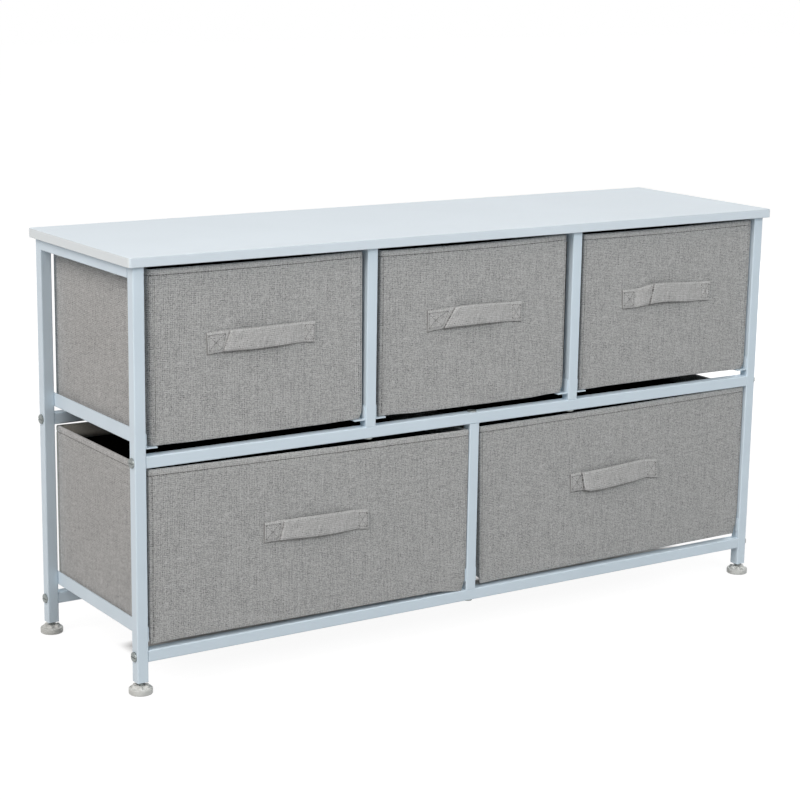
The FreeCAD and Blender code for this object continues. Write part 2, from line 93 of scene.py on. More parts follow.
def feed(tree, node, **values):
    """Feeds a node's inputs by name, or as in_ and a number: nodes and sockets are linked, others set."""
    for name, value in values.items():
        target = node.inputs[int(name[3:]) if name.startswith("in_") else name.replace("_", " ")]
        if isinstance(value, bpy.types.Node):
            value = value.outputs[0]
        if isinstance(value, bpy.types.NodeSocket):
            tree.links.new(value, target)
        else:
            target.default_value = value
    return node


def add(tree, kind, *inputs, **settings):
    """Adds a node with its first inputs in order. A setting is a property of the node or a named input.

    A second word in kind is the operation, as in "Math ADD".
    """
    kind, _, operation = kind.partition(" ")
    made = tree.nodes.new("ShaderNode" + kind)
    if operation:
        made.operation = operation
    values = {f"in_{index}": value for index, value in enumerate(inputs)}
    for name, value in settings.items():
        if hasattr(made, name):
            setattr(made, name, value)
        else:
            values[name] = value
    return feed(tree, made, **values)


def finish(name, **shader_values):
    """A material with its Principled shader, ready for nodes: (material, node tree, shader)."""
    material = bpy.data.materials.new(name)
    material.use_nodes = True
    tree = material.node_tree
    return material, tree, feed(tree, tree.nodes["Principled BSDF"], **shader_values)


def tones(tree, factor, *stops):
    """A colour ramp from (place, hex colour) pairs, driven by a factor."""
    ramp = add(tree, "ValToRGB", factor)
    ends = ramp.color_ramp.elements
    for index, (place, colour) in enumerate(stops):
        stop = ends[index] if index < 2 else ends.new(place)
        stop.position = place
        stop.color = linear(colour)
    return ramp


def clouded(name, cloud_mm, detail, stops, grain=None, **shader_values):
    """A finish whose tone drifts in clouds. grain is the size, strength and height in mm of a fine relief."""
    material, tree, shader = finish(name, **shader_values)
    place = add(tree, "TexCoord").outputs["Object"]
    clouds = add(tree, "TexNoise", place, Scale=1 / (cloud_mm * MM), Detail=detail)
    feed(tree, shader, Base_Color=tones(tree, clouds, *stops))
    if grain:
        size_mm, strength, height_mm = grain
        relief = add(tree, "TexNoise", place, Scale=1 / (size_mm * MM), Detail=1.0)
        bump = add(tree, "Bump", Height=relief, Strength=strength, Distance=height_mm * MM)
        feed(tree, shader, Normal=bump)
    return material, tree, shader, clouds


print("a mid grey in light:", round(linear("#9B9B9A")[0], 3))

# %% [markdown]
# ## Powder-coated steel
# The tubes and the runners are mild steel, sprayed with a polyester powder and baked. The powder melts
# into a skin with a faint orange peel, about 2 mm from crest to crest, and it is a little thicker and
# paler where it flows together. The eye reads that as a soft, slightly uneven gloss on a cold white.

# %% Powder coat
COAT_CLOUD_MM = 60.0
ORANGE_PEEL = (2.2, 0.25, 0.05)
steel_white = clouded("powder_coated_steel", COAT_CLOUD_MM, 2.0, ((0.3, "#CCDCE7"), (0.7, "#D0E0EB")),
                      ORANGE_PEEL, Roughness=0.42)[0]
print("made", steel_white.name)

# %% [markdown]
# ## Coated board
# The top is particle board pressed between melamine papers. The faces are a clean cold white with a very
# fine pearl that the press plate leaves, and the four edges carry a glued band of the same white, a touch
# warmer at the two ends. A hairline shows where the band meets the face. Here the height on the edge
# tells band from face.

# %% Board finish
BOARD_CLOUDS_PER_M = 6.0
PEARL_MM = 0.9
BAND_LINE_MM = 0.5
HALF_LINE_MM = 0.12


def coated_board():
    material, tree, shader = finish("melamine_board", Roughness=0.38)
    low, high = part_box("tabletop")
    coords = add(tree, "TexCoord")
    place = coords.outputs["Object"]
    clouds = add(tree, "TexNoise", place, Scale=BOARD_CLOUDS_PER_M, Detail=3.0)
    face = tones(tree, clouds, (0.35, "#D2DFE8"), (0.65, "#D5E2EB"))
    normal = add(tree, "SeparateXYZ", coords.outputs["Normal"])
    across = add(tree, "Math ABSOLUTE", normal.outputs["X"])
    end_face = add(tree, "Math GREATER_THAN", across, 0.7)
    ends = add(tree, "Mix", end_face, in_6=face, in_7=linear("#D9E2E6"), data_type="RGBA")
    height = add(tree, "SeparateXYZ", place).outputs["Z"]
    from_middle = add(tree, "Math SUBTRACT", height, (low[2] + high[2]) / 2)
    from_middle = add(tree, "Math ABSOLUTE", from_middle)
    line_at = (high[2] - low[2]) / 2 - BAND_LINE_MM * MM
    line = add(tree, "Math COMPARE", from_middle, line_at, HALF_LINE_MM * MM)
    upright = add(tree, "Math ABSOLUTE", normal.outputs["Z"])
    on_edge = add(tree, "Math LESS_THAN", upright, 0.8)
    joint = add(tree, "Math MULTIPLY", line, on_edge)
    lined = add(tree, "Mix", joint, in_6=ends.outputs[2], in_7=linear("#C4CBD0"), data_type="RGBA")
    pearl = add(tree, "TexNoise", place, Scale=1 / (PEARL_MM * MM), Detail=1.0)
    bump = add(tree, "Bump", Height=pearl, Strength=0.15, Distance=0.03 * MM)
    feed(tree, shader, Base_Color=lined.outputs[2], Normal=bump)
    return material


board_white = coated_board()
print("made", board_white.name)

# %% [markdown]
# ## Zinc-plated steel and moulded plastic
# Bolts, studs and screws are plated with zinc. The plating is bright but never quite even: it has small
# dull clouds. The foot pads are moulded in a waxy, slightly yellow white, and the mould leaves a fine matt
# grain of about half a millimetre. Both are built like the powder coat, so one helper makes them all.

# %% Zinc, foot plastic and insert plastic
MOULD_GRAIN = (0.5, 0.3, 0.04)
zinc, zinc_tree, zinc_shader, zinc_clouds = clouded(
    "zinc_plated_steel", 1.6, 3.0, ((0.3, "#868B8A"), (0.75, "#A9AEAC")), Metallic=1.0, Roughness=0.5)
feed(zinc_tree, zinc_shader, Roughness=add(zinc_tree, "MapRange", zinc_clouds, To_Min=0.4, To_Max=0.62))
foot_white = clouded("moulded_polypropylene", 8.0, 2.0, ((0.3, "#C1C4C1"), (0.7, "#C9CCCA")),
                     MOULD_GRAIN, Roughness=0.45, IOR=1.49)[0]
insert_grey = clouded("moulded_nylon", 8.0, 2.0, ((0.3, "#424445"), (0.7, "#4A4C4D")),
                      MOULD_GRAIN, Roughness=0.5, IOR=1.49)[0]
print("made", zinc.name, foot_white.name, insert_grey.name)

# %% [markdown]
# ## Linen-look weave
# The covers are a plain weave of slubby polyester yarn: each yarn goes over one and under the next, and
# every yarn thickens and thins along its length. Such yarns are about 0.6 mm apart, too fine to show from
# across a room, so they are drawn 1.15 mm apart. Each cell of the pattern shows the upright yarn or the
# level one, as a chessboard does. Each yarn wanders a little and carries its own run of tones, and every
# second one is thicker and paler.

# %% Woven cloth
YARN_MM = 1.15
SLUB_MM = {"Y": 40.0, "X": 20.0}
WANDER_MM = 14.0
WANDER_YARNS = 1.2
# for each set of yarns: the axis that counts them, the axis they run along, their noise's start, its strength
YARN_SETS = (("X", "Y", 0.0, 1.0), ("Y", "X", 517.0, 0.8))
LANE_APART = 3.7
TOP_YARN_SHARE = 0.78
THICK_LIFT = 0.14
HEM_LIFT = 0.09
# painted shade laid into the seam and hem grooves, and along the straps' ends, creases and bottom folds
PAINTED_GROOVE_SHADE = 0.42


def woven_cloth(name, tone_stops, fleck_share):
    material, tree, shader = finish(name, Roughness=0.92, Sheen_Weight=0.12, Sheen_Roughness=0.6,
                                    Specular_IOR_Level=0.2)
    cloth = add(tree, "UVMap", uv_map="cloth")
    yarns = add(tree, "VectorMath SCALE", cloth, Scale=1 / (YARN_MM * MM))
    wander = add(tree, "TexNoise", cloth, Scale=1 / (WANDER_MM * MM), Detail=1.0).outputs["Color"]
    yarns = add(tree, "VectorMath MULTIPLY_ADD", wander, (WANDER_YARNS, WANDER_YARNS, 0.0), yarns)
    apart = add(tree, "SeparateXYZ", yarns)
    cell, thick = {}, {}
    for axis in "XY":
        cell[axis] = add(tree, "Math FLOOR", apart.outputs[axis])
        thick[axis] = add(tree, "Math FLOORED_MODULO", cell[axis], 2.0)
    total = add(tree, "Math ADD", cell["X"], cell["Y"])
    over = add(tree, "Math FLOORED_MODULO", total, 2.0)
    yarn_tone = []
    for across, along, start, gain in YARN_SETS:
        lane = add(tree, "Math MULTIPLY_ADD", cell[across], LANE_APART, start)
        length = add(tree, "Math DIVIDE", apart.outputs[along], SLUB_MM[along] / YARN_MM)
        slub = add(tree, "TexNoise", add(tree, "CombineXYZ", lane, length), Scale=1.0, Detail=0.0)
        yarn_tone.append(add(tree, "Math MULTIPLY_ADD", slub, gain, 0.5 - gain / 2))
    mostly = add(tree, "Math MULTIPLY_ADD", over, 2 * TOP_YARN_SHARE - 1, 1 - TOP_YARN_SHARE)
    shown = add(tree, "Mix", mostly, in_2=yarn_tone[0], in_3=yarn_tone[1], data_type="FLOAT")
    fleck = add(tree, "TexWhiteNoise", add(tree, "CombineXYZ", cell["X"], cell["Y"]), noise_dimensions="2D")
    flecked = add(tree, "Mix", fleck_share, in_2=shown, in_3=fleck, data_type="FLOAT")
    thicker = add(tree, "Math ADD", thick["X"], thick["Y"])
    lift = add(tree, "Math MULTIPLY_ADD", thicker, THICK_LIFT, -THICK_LIFT)
    tone = add(tree, "Math ADD", flecked, lift)
    # the first mark pales the doubled hem and, below nought, paints the shade on the strip by a front's left
    # corner
    doubled = add(tree, "Attribute", attribute_name="doubled").outputs["Fac"]
    # the second mark paints shade into the seam and hem grooves and along the straps' ends, creases and
    # bottom folds
    sewn = add(tree, "Attribute", attribute_name="sewn").outputs["Fac"]
    # the hem turns paler, and the corner strip darker with painted shade
    paler = add(tree, "Math MULTIPLY_ADD", doubled, HEM_LIFT, tone)
    groove_shaded = add(tree, "Math MULTIPLY_ADD", sewn, -PAINTED_GROOVE_SHADE, paler)
    ridge = []
    for axis in "XY":
        part = add(tree, "Math FRACT", apart.outputs[axis])
        wave = add(tree, "Math MULTIPLY", part, math.pi)
        ridge.append(add(tree, "Math SINE", wave))
    round_yarn = add(tree, "Math MULTIPLY", *ridge)
    raised = add(tree, "Math ADD", round_yarn, tone)
    bump = add(tree, "Bump", Height=raised, Strength=0.5, Distance=0.18 * MM)
    feed(tree, shader, Base_Color=tones(tree, groove_shaded, *tone_stops), Normal=bump)
    return material


grey_weave = woven_cloth("woven_slub_polyester",
                         ((0.0, "#4C4D4E"), (0.25, "#8D8F8F"), (0.5, "#A3A5A5"), (0.75, "#BDBFBF")), 0.42)
strap_weave = woven_cloth("woven_strap_polyester",
                          ((0.0, "#585858"), (0.25, "#9A9C9C"), (0.5, "#AFB0B0"), (0.75, "#C5C7C7")), 0.32)
print("yarns drawn", YARN_MM, "mm apart, slubs", SLUB_MM["Y"], "mm long upright,", SLUB_MM["X"], "mm level")

# %% [markdown]
# ## Felt, chipboard and thread
# The backs of the drawers are a cream non-woven felt, and the linings a black one. Hot rollers bond the
# loose fibres at small points about 1 mm apart, which leaves a faint dimpled grid. Thread lies in shadow at
# both ends of a stitch, where it dives into its needle holes, so its colour follows its length.

# %% Non-woven cloth, chipboard and thread
BOND_POINT_MM = 1.1
FIBRE_MM = 3.0


def spun_bonded(name, pale, dark, sheen, shine):
    material, tree, shader = finish(name, Roughness=0.88, Sheen_Weight=sheen, Specular_IOR_Level=shine)
    cloth = add(tree, "UVMap", uv_map="cloth")
    dimples = add(tree, "TexVoronoi", cloth, Scale=1 / (BOND_POINT_MM * MM), Randomness=0.35)
    fibres = add(tree, "TexNoise", cloth, Scale=1 / (FIBRE_MM * MM), Detail=4.0)
    bump = add(tree, "Bump", Height=dimples, Strength=0.4, Distance=0.1 * MM)
    feed(tree, shader, Base_Color=tones(tree, fibres, (0.35, dark), (0.65, pale)), Normal=bump)
    return material


def sewing_thread(name, middle, ends):
    material, tree, shader = finish(name, Roughness=0.6, Sheen_Weight=0.2)
    along = add(tree, "SeparateXYZ", add(tree, "UVMap", uv_map="cloth")).outputs["X"]
    feed(tree, shader, Base_Color=tones(tree, along, (0.0, ends), (0.18, ends), (0.34, middle),
                                        (0.66, middle), (0.82, ends)))
    return material


cream_felt = spun_bonded("spun_bonded_cream", "#CBC9C0", "#BDBBB2", 0.08, 0.25)
black_felt = spun_bonded("spun_bonded_black", "#11110E", "#0B0B09", 0.0, 0.06)
board_grey = clouded("grey_chipboard", 2.0, 5.0, ((0.3, "#8B8378"), (0.7, "#A39B8E")), Roughness=0.9)[0]
thread = sewing_thread("spun_polyester_thread", "#8E8E8C", "#333332")
strap_thread = sewing_thread("bonded_polyester_thread", "#5E5E5C", "#2C2C2B")
print("made", cream_felt.name, black_felt.name, board_grey.name, thread.name, strap_thread.name)

# %% [markdown]
# ## Finishes for the carried-over parts
# The steel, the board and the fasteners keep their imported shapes. Each gets its finish by the material
# slot that the record names, so a new tube in the frame would be coated too.

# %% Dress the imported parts
FINISH_OF_SLOT = {
    "frame_steel": steel_white, "board_top": board_white, "zinc_steel": zinc, "foot_plastic": foot_white,
    "woven_cover": grey_weave, "woven_strap": strap_weave, "dark_lining": black_felt,
    "stiffening_board": board_grey,
}
for node_name, node_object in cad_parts.items():
    for place in node_object.material_slots:
        found = [made for slot, made in FINISH_OF_SLOT.items() if slot in place.material.name]
        if found:
            place.material = found[0]
        else:
            print("no finish for", node_name, place.material.name)
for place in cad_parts["leg_inserts"].material_slots:
    place.material = insert_grey
print("dressed", len(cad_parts), "packed nodes")

# %% [markdown]
# ## Building cloth from grids
# Each cloth piece is a set of grids of points, sewn where their edges meet. Every point also knows how far
# along and across the cloth it lies, in metres. That becomes a UV map named cloth, so the weave runs with
# the panel, turns over the hem and never stretches.

# %% Grids to meshes
def show(name, mesh, material):
    """An object in the scene for a finished mesh."""
    shown = bpy.data.objects.new(name, mesh)
    bpy.context.scene.collection.objects.link(shown)
    mesh.materials.append(material)
    return shown


def to_piece(shape, name, body, material, thickness=0.0):
    """Turns a built shape into one piece, thickened where it is cloth, that rides its body."""
    mesh = bpy.data.meshes.new(name)
    shape.to_mesh(mesh)
    shape.free()
    piece = show(name, mesh, material)
    if thickness:
        shell = piece.modifiers.new("thickness", "SOLIDIFY")
        shell.thickness = thickness
        shell.offset = -1.0
    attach(piece, body)
    return piece


def build_piece(name, body, material, grids, thickness=0.0, weld=0.02 * MM):
    """Makes one piece from grids of (point, (u, v), marks) and returns it."""
    shape = bmesh.new()
    layer = shape.loops.layers.uv.new("cloth")
    # marks at each point: painted shade of grooves and creases, then the hem's lift with the painted shade by
    # the left corners
    mark_layers = [shape.verts.layers.float.new(mark) for mark in ("sewn", "doubled")]
    for grid in grids:
        rows = []
        for row in grid:
            rows.append([shape.verts.new(stop[0]) for stop in row])
            for vertex, stop in zip(rows[-1], row):
                for mark_layer, value in zip(mark_layers, stop[2] if len(stop) > 2 else ()):
                    vertex[mark_layer] = value
        for i in range(len(grid) - 1):
            for j in range(len(grid[0]) - 1):
                corners = ((i, j), (i, j + 1), (i + 1, j + 1), (i + 1, j))
                face = shape.faces.new([rows[a][b] for a, b in corners])
                face.smooth = True
                for loop, (a, b) in zip(face.loops, corners):
                    loop[layer].uv = grid[a][b][1]
    bmesh.ops.remove_doubles(shape, verts=shape.verts, dist=weld)
    bmesh.ops.dissolve_degenerate(shape, edges=shape.edges, dist=weld)
    return to_piece(shape, name, body, material, thickness)


def spread(start, end, step, extra=()):
    """Even stops from start to end about a step apart, with extra stops mixed in."""
    count = max(1, round(abs(end - start) / step))
    stops = [start + (end - start) * i / count for i in range(count + 1)]
    low, high = min(start, end), max(start, end)
    stops += [value for value in extra if low < value < high]
    return sorted(set(stops), reverse=start > end)


def smooth_step(low, high, value):
    t = min(1.0, max(0.0, (value - low) / (high - low)))
    return t * t * (3 - 2 * t)


def arc(x, z, radius, start, turn, steps, first=0):
    """Points round a centre, from an angle over a turn, both counted in quarter turns."""
    angles = [math.pi / 2 * (start + turn * i / steps) for i in range(first, steps + 1)]
    return [(x + radius * math.cos(a), z + radius * math.sin(a)) for a in angles]


print("spread 0 to 20 by 7:", [round(v, 1) for v in spread(0, 20, 7)])

# %% [markdown]
# ## How a drawer settles
# A cloth drawer is never as true as a steel box. Its walls are board in a sewn bag, so they bow a little
# between the corners. The two wide drawers also hang lower at the middle of the dresser, where the long
# rails give. A front's low corners droop and lean out, but only in its first few millimetres and only as
# far as the runners leave room, so that the drawer can be pushed in. One function moves any point of a
# drawer, and every layer uses it, so cover, boards, lining and stitches stay nested.

# %% A drawer and how it settles
WALL_MM = 4.4
COVER_MM = 1.0
BACK_CORNER_MM = 2.0
RIGHT_CORNER_MM = 2.0
RIGHT_SEAM_MM = 2.6
LOW_CORNER_IN_MM = 4.0
UPPER_FLANGE_ROOM_MM = 5.2
LOWER_FLANGE_ROOM_MM = 2.1
FLANGE_TOP = (0.085, 0.14)
DROOP_REACH_MM = (1.0, 4.0)
LEAN_REACH_MM = (2.0, 30.0)
RIM_DIP_MM = 0.5
RIPPLES_PER_M = (14, 9)
# how far a wall bows: by chance, and evenly between its corners
BOW_MM = (0.35, 0.45)
SIDE_BOW_MM = (0.3, 0.35)


class Drawer:
    """The sizes of one drawer in metres, read from its packed cover, and how its cloth settles.

    corner_mm and seam_mm are the left front corner's radius and the distance of its seam. The seam and strip
    shades are painted shade: how dark the seam's groove is, and how dark the cloth outside it by the corner
    is, where the upright tube beside it shadows it. wrap_mm is how far the back panel comes round. rim_fall,
    rim_rise and corner_low are pairs in mm for the two ends. out_left and out_right move the front's upright
    edges outwards by so many mm, at the bottom and at the top.
    """

    def __init__(self, name, hem_mm, corner_mm, seam_mm, seam_tone, painted_strip_shade, wrap_mm, flap_mm=0.0,
                 hang_mm=0.0, sag_mm=0.0, rim_fall=(0, 0), rim_rise=(0, 0), out_left=(0, 0), out_right=(0, 0),
                 corner_low=(0, 0), seed=1):
        low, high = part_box(name + "_cover")
        self.name = name
        self.x0, self.y0, self.z0 = low[0], low[1], low[2] + flap_mm * MM
        self.x1, self.y1, self.z1 = high
        self.hem = hem_mm * MM
        self.corner = (corner_mm * MM, RIGHT_CORNER_MM * MM)
        self.seam = (seam_mm * MM, RIGHT_SEAM_MM * MM)
        self.seam_tone, self.painted_strip_shade = seam_tone, painted_strip_shade
        self.wrap = wrap_mm * MM
        self.drop = hang_mm * MM
        self.sag = sag_mm * MM
        self.rim_fall, self.rim_rise, self.corner_low = (
            [value * MM for value in pair] for pair in (rim_fall, rim_rise, corner_low))
        self.flange_room = (LOWER_FLANGE_ROOM_MM if flap_mm else UPPER_FLANGE_ROOM_MM) * MM
        self.edge_out = [[value * MM for value in pair] for pair in (out_left, out_right)]
        self.seed = seed

    def settle(self, point):
        """Where a point of the straight-sided drawer really lies."""
        x, y, z = point
        u = (x - self.x0) / (self.x1 - self.x0)
        v = (y - self.y0) / (self.y1 - self.y0)
        w = (z - self.z0) / (self.z1 - self.z0)
        high_up = smooth_step(0.05, 1.0, w)
        low_down = 1 - smooth_step(0.0, 0.25, w)
        at_front, front_edge = [1 - smooth_step(near * MM, far * MM, y - self.y0)
                                for near, far in (DROOP_REACH_MM, LEAN_REACH_MM)]
        fall, shift_x = 0.0, 0.0
        for side, toward in ((0, 1 - u), (1, u)):
            fall -= self.rim_fall[side] * toward * max(high_up, 0.75 * at_front)
            fall += self.rim_rise[side] * max(0.0, toward) ** 3 * high_up
            fall -= self.corner_low[side] * smooth_step(0.9, 1.0, toward) * low_down * at_front
            bottom, top = self.edge_out[side]
            out = bottom + (top - bottom) * min(1.0, max(0.0, w))
            by_flange = min(out, self.flange_room)
            out = by_flange + (out - by_flange) * smooth_step(*FLANGE_TOP, w)
            out -= side * LOW_CORNER_IN_MM * MM * (1 - smooth_step(0.0, 0.07, w)) ** 2
            shift_x += (2 * side - 1) * out * smooth_step(0.95, 1.0, toward) * front_edge
        between_lips = smooth_step(0.06, 0.2, u) * smooth_step(0.06, 0.2, 1 - u)
        fall -= self.sag * between_lips * low_down * (0.4 + 0.6 * at_front)
        middle_u, middle_v = [math.sin(math.pi * min(1, max(0, share))) for share in (u, v)]
        fall -= RIM_DIP_MM * MM * middle_u * high_up ** 4
        along, up = RIPPLES_PER_M
        ripple = noise.noise(Vector((x * along, z * up, self.seed * 3.1)))
        bow = (BOW_MM[0] * ripple + BOW_MM[1] * math.sin(math.pi * w)) * MM
        near_front, near_back = (1 - v) ** 8, v ** 8
        shift_y = bow * middle_u * (near_back - near_front)
        side_ripple = noise.noise(Vector((y * along, z * up, self.seed * 5.3 + u)))
        side_bow = (SIDE_BOW_MM[0] * side_ripple + SIDE_BOW_MM[1] * math.sin(math.pi * w)) * MM
        shift_x += side_bow * middle_v * (u ** 8 - (1 - u) ** 8)
        return Vector((x + shift_x, y + shift_y, z + fall))


print("walls", WALL_MM, "mm thick, covers", COVER_MM, "mm")

# %% [markdown]
# ## Walking round a drawer
# A cover is one strip that walks round the drawer. Each stop on the way knows its place on the outline,
# the way out of the wall there and how far the walk has gone. Stops crowd together at the seams, so that
# a seam can be a real groove, and painted shade darkens the cloth in that groove as well.

# %% Stops round the outline
GROOVE_STOPS_MM = (1.6, 0.9, 0.45, 0.0, -0.45, -0.9, -1.6)
CORNER_STEPS = 5


class Stop:
    """One upright line of a drawer's wall: outline point, outward direction, distance walked, panel."""

    def __init__(self, place, out, walked, panel):
        self.place, self.out, self.walked, self.panel = place, out, walked, panel

    def inset(self, drawer, depth):
        """The point a given depth into the wall, kept inside the corners."""
        x = self.place[0] - self.out[0] * depth
        y = self.place[1] - self.out[1] * depth
        x = min(max(x, drawer.x0 + depth), drawer.x1 - depth)
        y = min(max(y, drawer.y0 + depth), drawer.y1 - depth)
        return x, y


def seam_stops(places_mm):
    """Stops that make each seam's groove: on it and on both of its lips."""
    return [at + offset for at in places_mm for offset in GROOVE_STOPS_MM]


def walk_outline(drawer, step_mm=7.0):
    """All stops round a drawer, from the back left corner over the left side, front and right side."""
    left_r, right_r = drawer.corner
    back_r = BACK_CORNER_MM * MM
    sides = (
        ("left", (drawer.x0, drawer.y1 - back_r), (drawer.x0, drawer.y0 + left_r), (-1, 0), left_r),
        ("front", (drawer.x0 + left_r, drawer.y0), (drawer.x1 - right_r, drawer.y0), (0, -1), right_r),
        ("right", (drawer.x1, drawer.y0 + right_r), (drawer.x1, drawer.y1 - back_r), (1, 0), back_r),
        ("back", (drawer.x1 - back_r, drawer.y1), (drawer.x0 + back_r, drawer.y1), (0, 1), back_r),
    )
    past_corner = [(seam - corner) / MM for seam, corner in zip(drawer.seam, drawer.corner)]
    stops, walked = [], 0.0
    for index, (panel, start, end, out, r) in enumerate(sides):
        length = math.dist(start, end)
        seams = (past_corner[0], length / MM - past_corner[1]) if panel == "front" else ()
        for at in spread(0.0, length / MM, step_mm, seam_stops(seams)):
            t = at * MM / length
            place = (start[0] + (end[0] - start[0]) * t, start[1] + (end[1] - start[1]) * t)
            stops.append(Stop(place, out, walked + at * MM, panel))
        walked += length
        turn_from = math.atan2(out[1], out[0])
        middle = (end[0] - out[0] * r, end[1] - out[1] * r)
        panel = "front_corner" if index < 2 else "back_corner"
        for i in range(1, CORNER_STEPS):
            turned = math.pi / 2 * i / CORNER_STEPS
            out_now = (math.cos(turn_from + turned), math.sin(turn_from + turned))
            place = (middle[0] + r * out_now[0], middle[1] + r * out_now[1])
            stops.append(Stop(place, out_now, walked + r * turned, panel))
        walked += r * math.pi / 2
    first = stops[0]
    stops.append(Stop(first.place, first.out, walked, "left"))
    return stops


print("rear corners turn on a radius of", BACK_CORNER_MM, "mm")

# %% [markdown]
# ## The profile of a wall
# Seen from the end, the cloth starts inside the drawer, climbs the wall, rolls over the padded rim and
# runs down outside to the bottom edge. The hem's stitch line pulls a shallow groove into it, and painted
# shade darkens that groove. On the wide drawers the front also hangs below the floor of the drawer, as a
# flap of two layers that hides the lips.

# %% Wall profile
RIM_RADIUS_MM = 2.35
HEM_TURN_MM = 20.0
FOOT_RADIUS_MM = 1.5
FLAP_MM = 3.6
UNDER_EDGE_MM = 6.0
SEAM_DEPTH_MM = 0.85
SEAM_HALF_WIDTH_MM = 0.6
# painted shade in the groove of each front's right seam
RIGHT_SEAM_SHADE = 0.2


def flap_bottom(drawer, stop):
    """How low the wall reaches at a stop: the flap hangs along the front and ends on the corners."""
    if not drawer.drop or stop.panel not in ("front", "front_corner"):
        return drawer.z0
    return drawer.z0 - drawer.drop * max(0.0, -stop.out[1]) ** 0.5


def wall_profile(drawer, stop):
    """The cloth's way over the wall as (depth into the wall, height, groove depth) in metres."""
    r = RIM_RADIUS_MM * MM
    foot = FOOT_RADIUS_MM * MM
    bottom = flap_bottom(drawer, stop)
    way = [(2 * r + 0.15 * MM, drawer.z1 - HEM_TURN_MM * MM), (2 * r, drawer.z1 - 12 * MM)]
    way += arc(r, drawer.z1 - r, r, 0, 2, 8)
    near_groove = [drawer.z1 - drawer.hem + offset * MM for offset in GROOVE_STOPS_MM]
    way += [(0.0, z) for z in near_groove]
    wall_top, wall_foot = near_groove[-1], bottom + foot
    count = round((drawer.z1 - drawer.z0) / (7 * MM))
    way += [(0.0, wall_top + (wall_foot - wall_top) * i / count) for i in range(1, count + 1)]
    way += arc(foot, wall_foot, foot, 2, 1, 4, 1)
    flap = FLAP_MM * MM
    way += [(flap - 0.6 * MM, bottom), (flap, min(bottom + 0.6 * MM, drawer.z0)), (flap, drawer.z0)]
    return way + [(UNDER_EDGE_MM * MM, drawer.z0)]


def sewn_here(drawer, stop, z):
    """How far the hem line and the upright seams pull the cloth in here, and how much painted shade they get,
    0 to 1.
    """
    half = SEAM_HALF_WIDTH_MM * MM
    hem = math.exp(-((z - drawer.z1 + drawer.hem) / half) ** 2)
    if stop.panel != "front":
        return hem, hem
    left = math.exp(-((stop.place[0] - drawer.x0 - drawer.seam[0]) / half) ** 2)
    right = math.exp(-((drawer.x1 - stop.place[0] - drawer.seam[1]) / half) ** 2)
    return max(hem, left, right), max(hem, left * drawer.seam_tone, right * RIGHT_SEAM_SHADE)


def tone_mark(drawer, stop, z):
    """1 where the hem doubles the cloth; below nought for the painted shade on the strip by the left corner.
    """
    doubled = smooth_step(-0.6 * MM, 0.6 * MM, z - drawer.z1 + drawer.hem)
    from_edge = stop.place[0] - drawer.x0
    if stop.panel in ("front", "front_corner") and from_edge < drawer.seam[0]:
        # painted shade on the strip between the left corner and its seam, darkest by the corner where the
        # upright tube shadows it
        return doubled * 0.4 - drawer.painted_strip_shade * (1 - from_edge / drawer.seam[0]) ** 0.6
    return doubled


print("rim radius", RIM_RADIUS_MM, "mm, seam grooves", SEAM_DEPTH_MM, "mm deep")

# %% [markdown]
# ## Sewing the cover and the back
# The woven cover makes the front, the two sides and the underside. The back is a separate cream panel
# that wraps a few millimetres round the rear corners and meets the weave there, without a stitch line.

# %% Cover and back
UPPER_WRAP_MM = 2.2
LOWER_WRAP_MM = 5.2


def sew_piece(drawer, what, part, material, grids, thickness_mm=0.0):
    """Builds one piece of a drawer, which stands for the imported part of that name."""
    piece = build_piece(f"{drawer.name}_{what}", drawer.name, material, grids, thickness_mm * MM)
    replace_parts(piece, f"{drawer.name}_{part}")


def wall_grid(drawer, stops):
    """The grid of a wall strip: one row of points for each stop."""
    grid = []
    for stop in stops:
        row, gone, last = [], 0.0, None
        for depth, z in wall_profile(drawer, stop):
            if last is not None:
                gone += math.dist(last, (depth, z))
            last = (depth, z)
            # the seam and hem grooves are pulled in, and they get painted shade
            pulled, dark = sewn_here(drawer, stop, z) if depth < 0.2 * MM else (0.0, 0.0)
            x, y = stop.inset(drawer, depth + pulled * SEAM_DEPTH_MM * MM)
            row.append((drawer.settle((x, y, z)), (stop.walked, -gone), (dark, tone_mark(drawer, stop, z))))
        grid.append(row)
    return grid


def floor_grid(drawer, stops, inset, z):
    """A level sheet that fills the outline at an inset, with its edge points on the walls' own."""
    xs, ys = [sorted({round(stop.inset(drawer, inset)[axis], 7) for stop in stops}) for axis in (0, 1)]
    return [[(drawer.settle((x, y, z)), (x, y)) for x in xs] for y in ys]


def make_cover_and_back(drawer):
    stops = walk_outline(drawer)
    edge = drawer.y1 - drawer.wrap
    past_corner = drawer.wrap - BACK_CORNER_MM * MM
    woven = [s for s in stops if s.place[1] <= edge]
    start = Stop((drawer.x0, edge), (-1, 0), past_corner, "left")
    end = Stop((drawer.x1, edge), (1, 0), woven[-1].walked + edge - woven[-1].place[1], "right")
    back = [end] + [s for s in stops if s.place[1] > edge and s.walked > end.walked]
    back.append(Stop(start.place, start.out, back[-1].walked + past_corner, "left"))
    for what, material, grid in (
            ("woven_cover", grey_weave, wall_grid(drawer, [start] + woven + [end])),
            ("back_panel", cream_felt, wall_grid(drawer, back)),
            ("underside", grey_weave, floor_grid(drawer, stops, UNDER_EDGE_MM * MM, drawer.z0))):
        sew_piece(drawer, what, "cover", material, [grid], COVER_MM)


print("the back panels wrap round by", LOWER_WRAP_MM, "mm below and", UPPER_WRAP_MM, "mm above")

# %% [markdown]
# ## Boards and lining
# Four boards and a base board stiffen the bag, and a black lining hides them. The boards are closed thin
# slabs with points enough to follow the drawer as it settles. The lining's walls stand against them, and
# its floor lies on the base board.

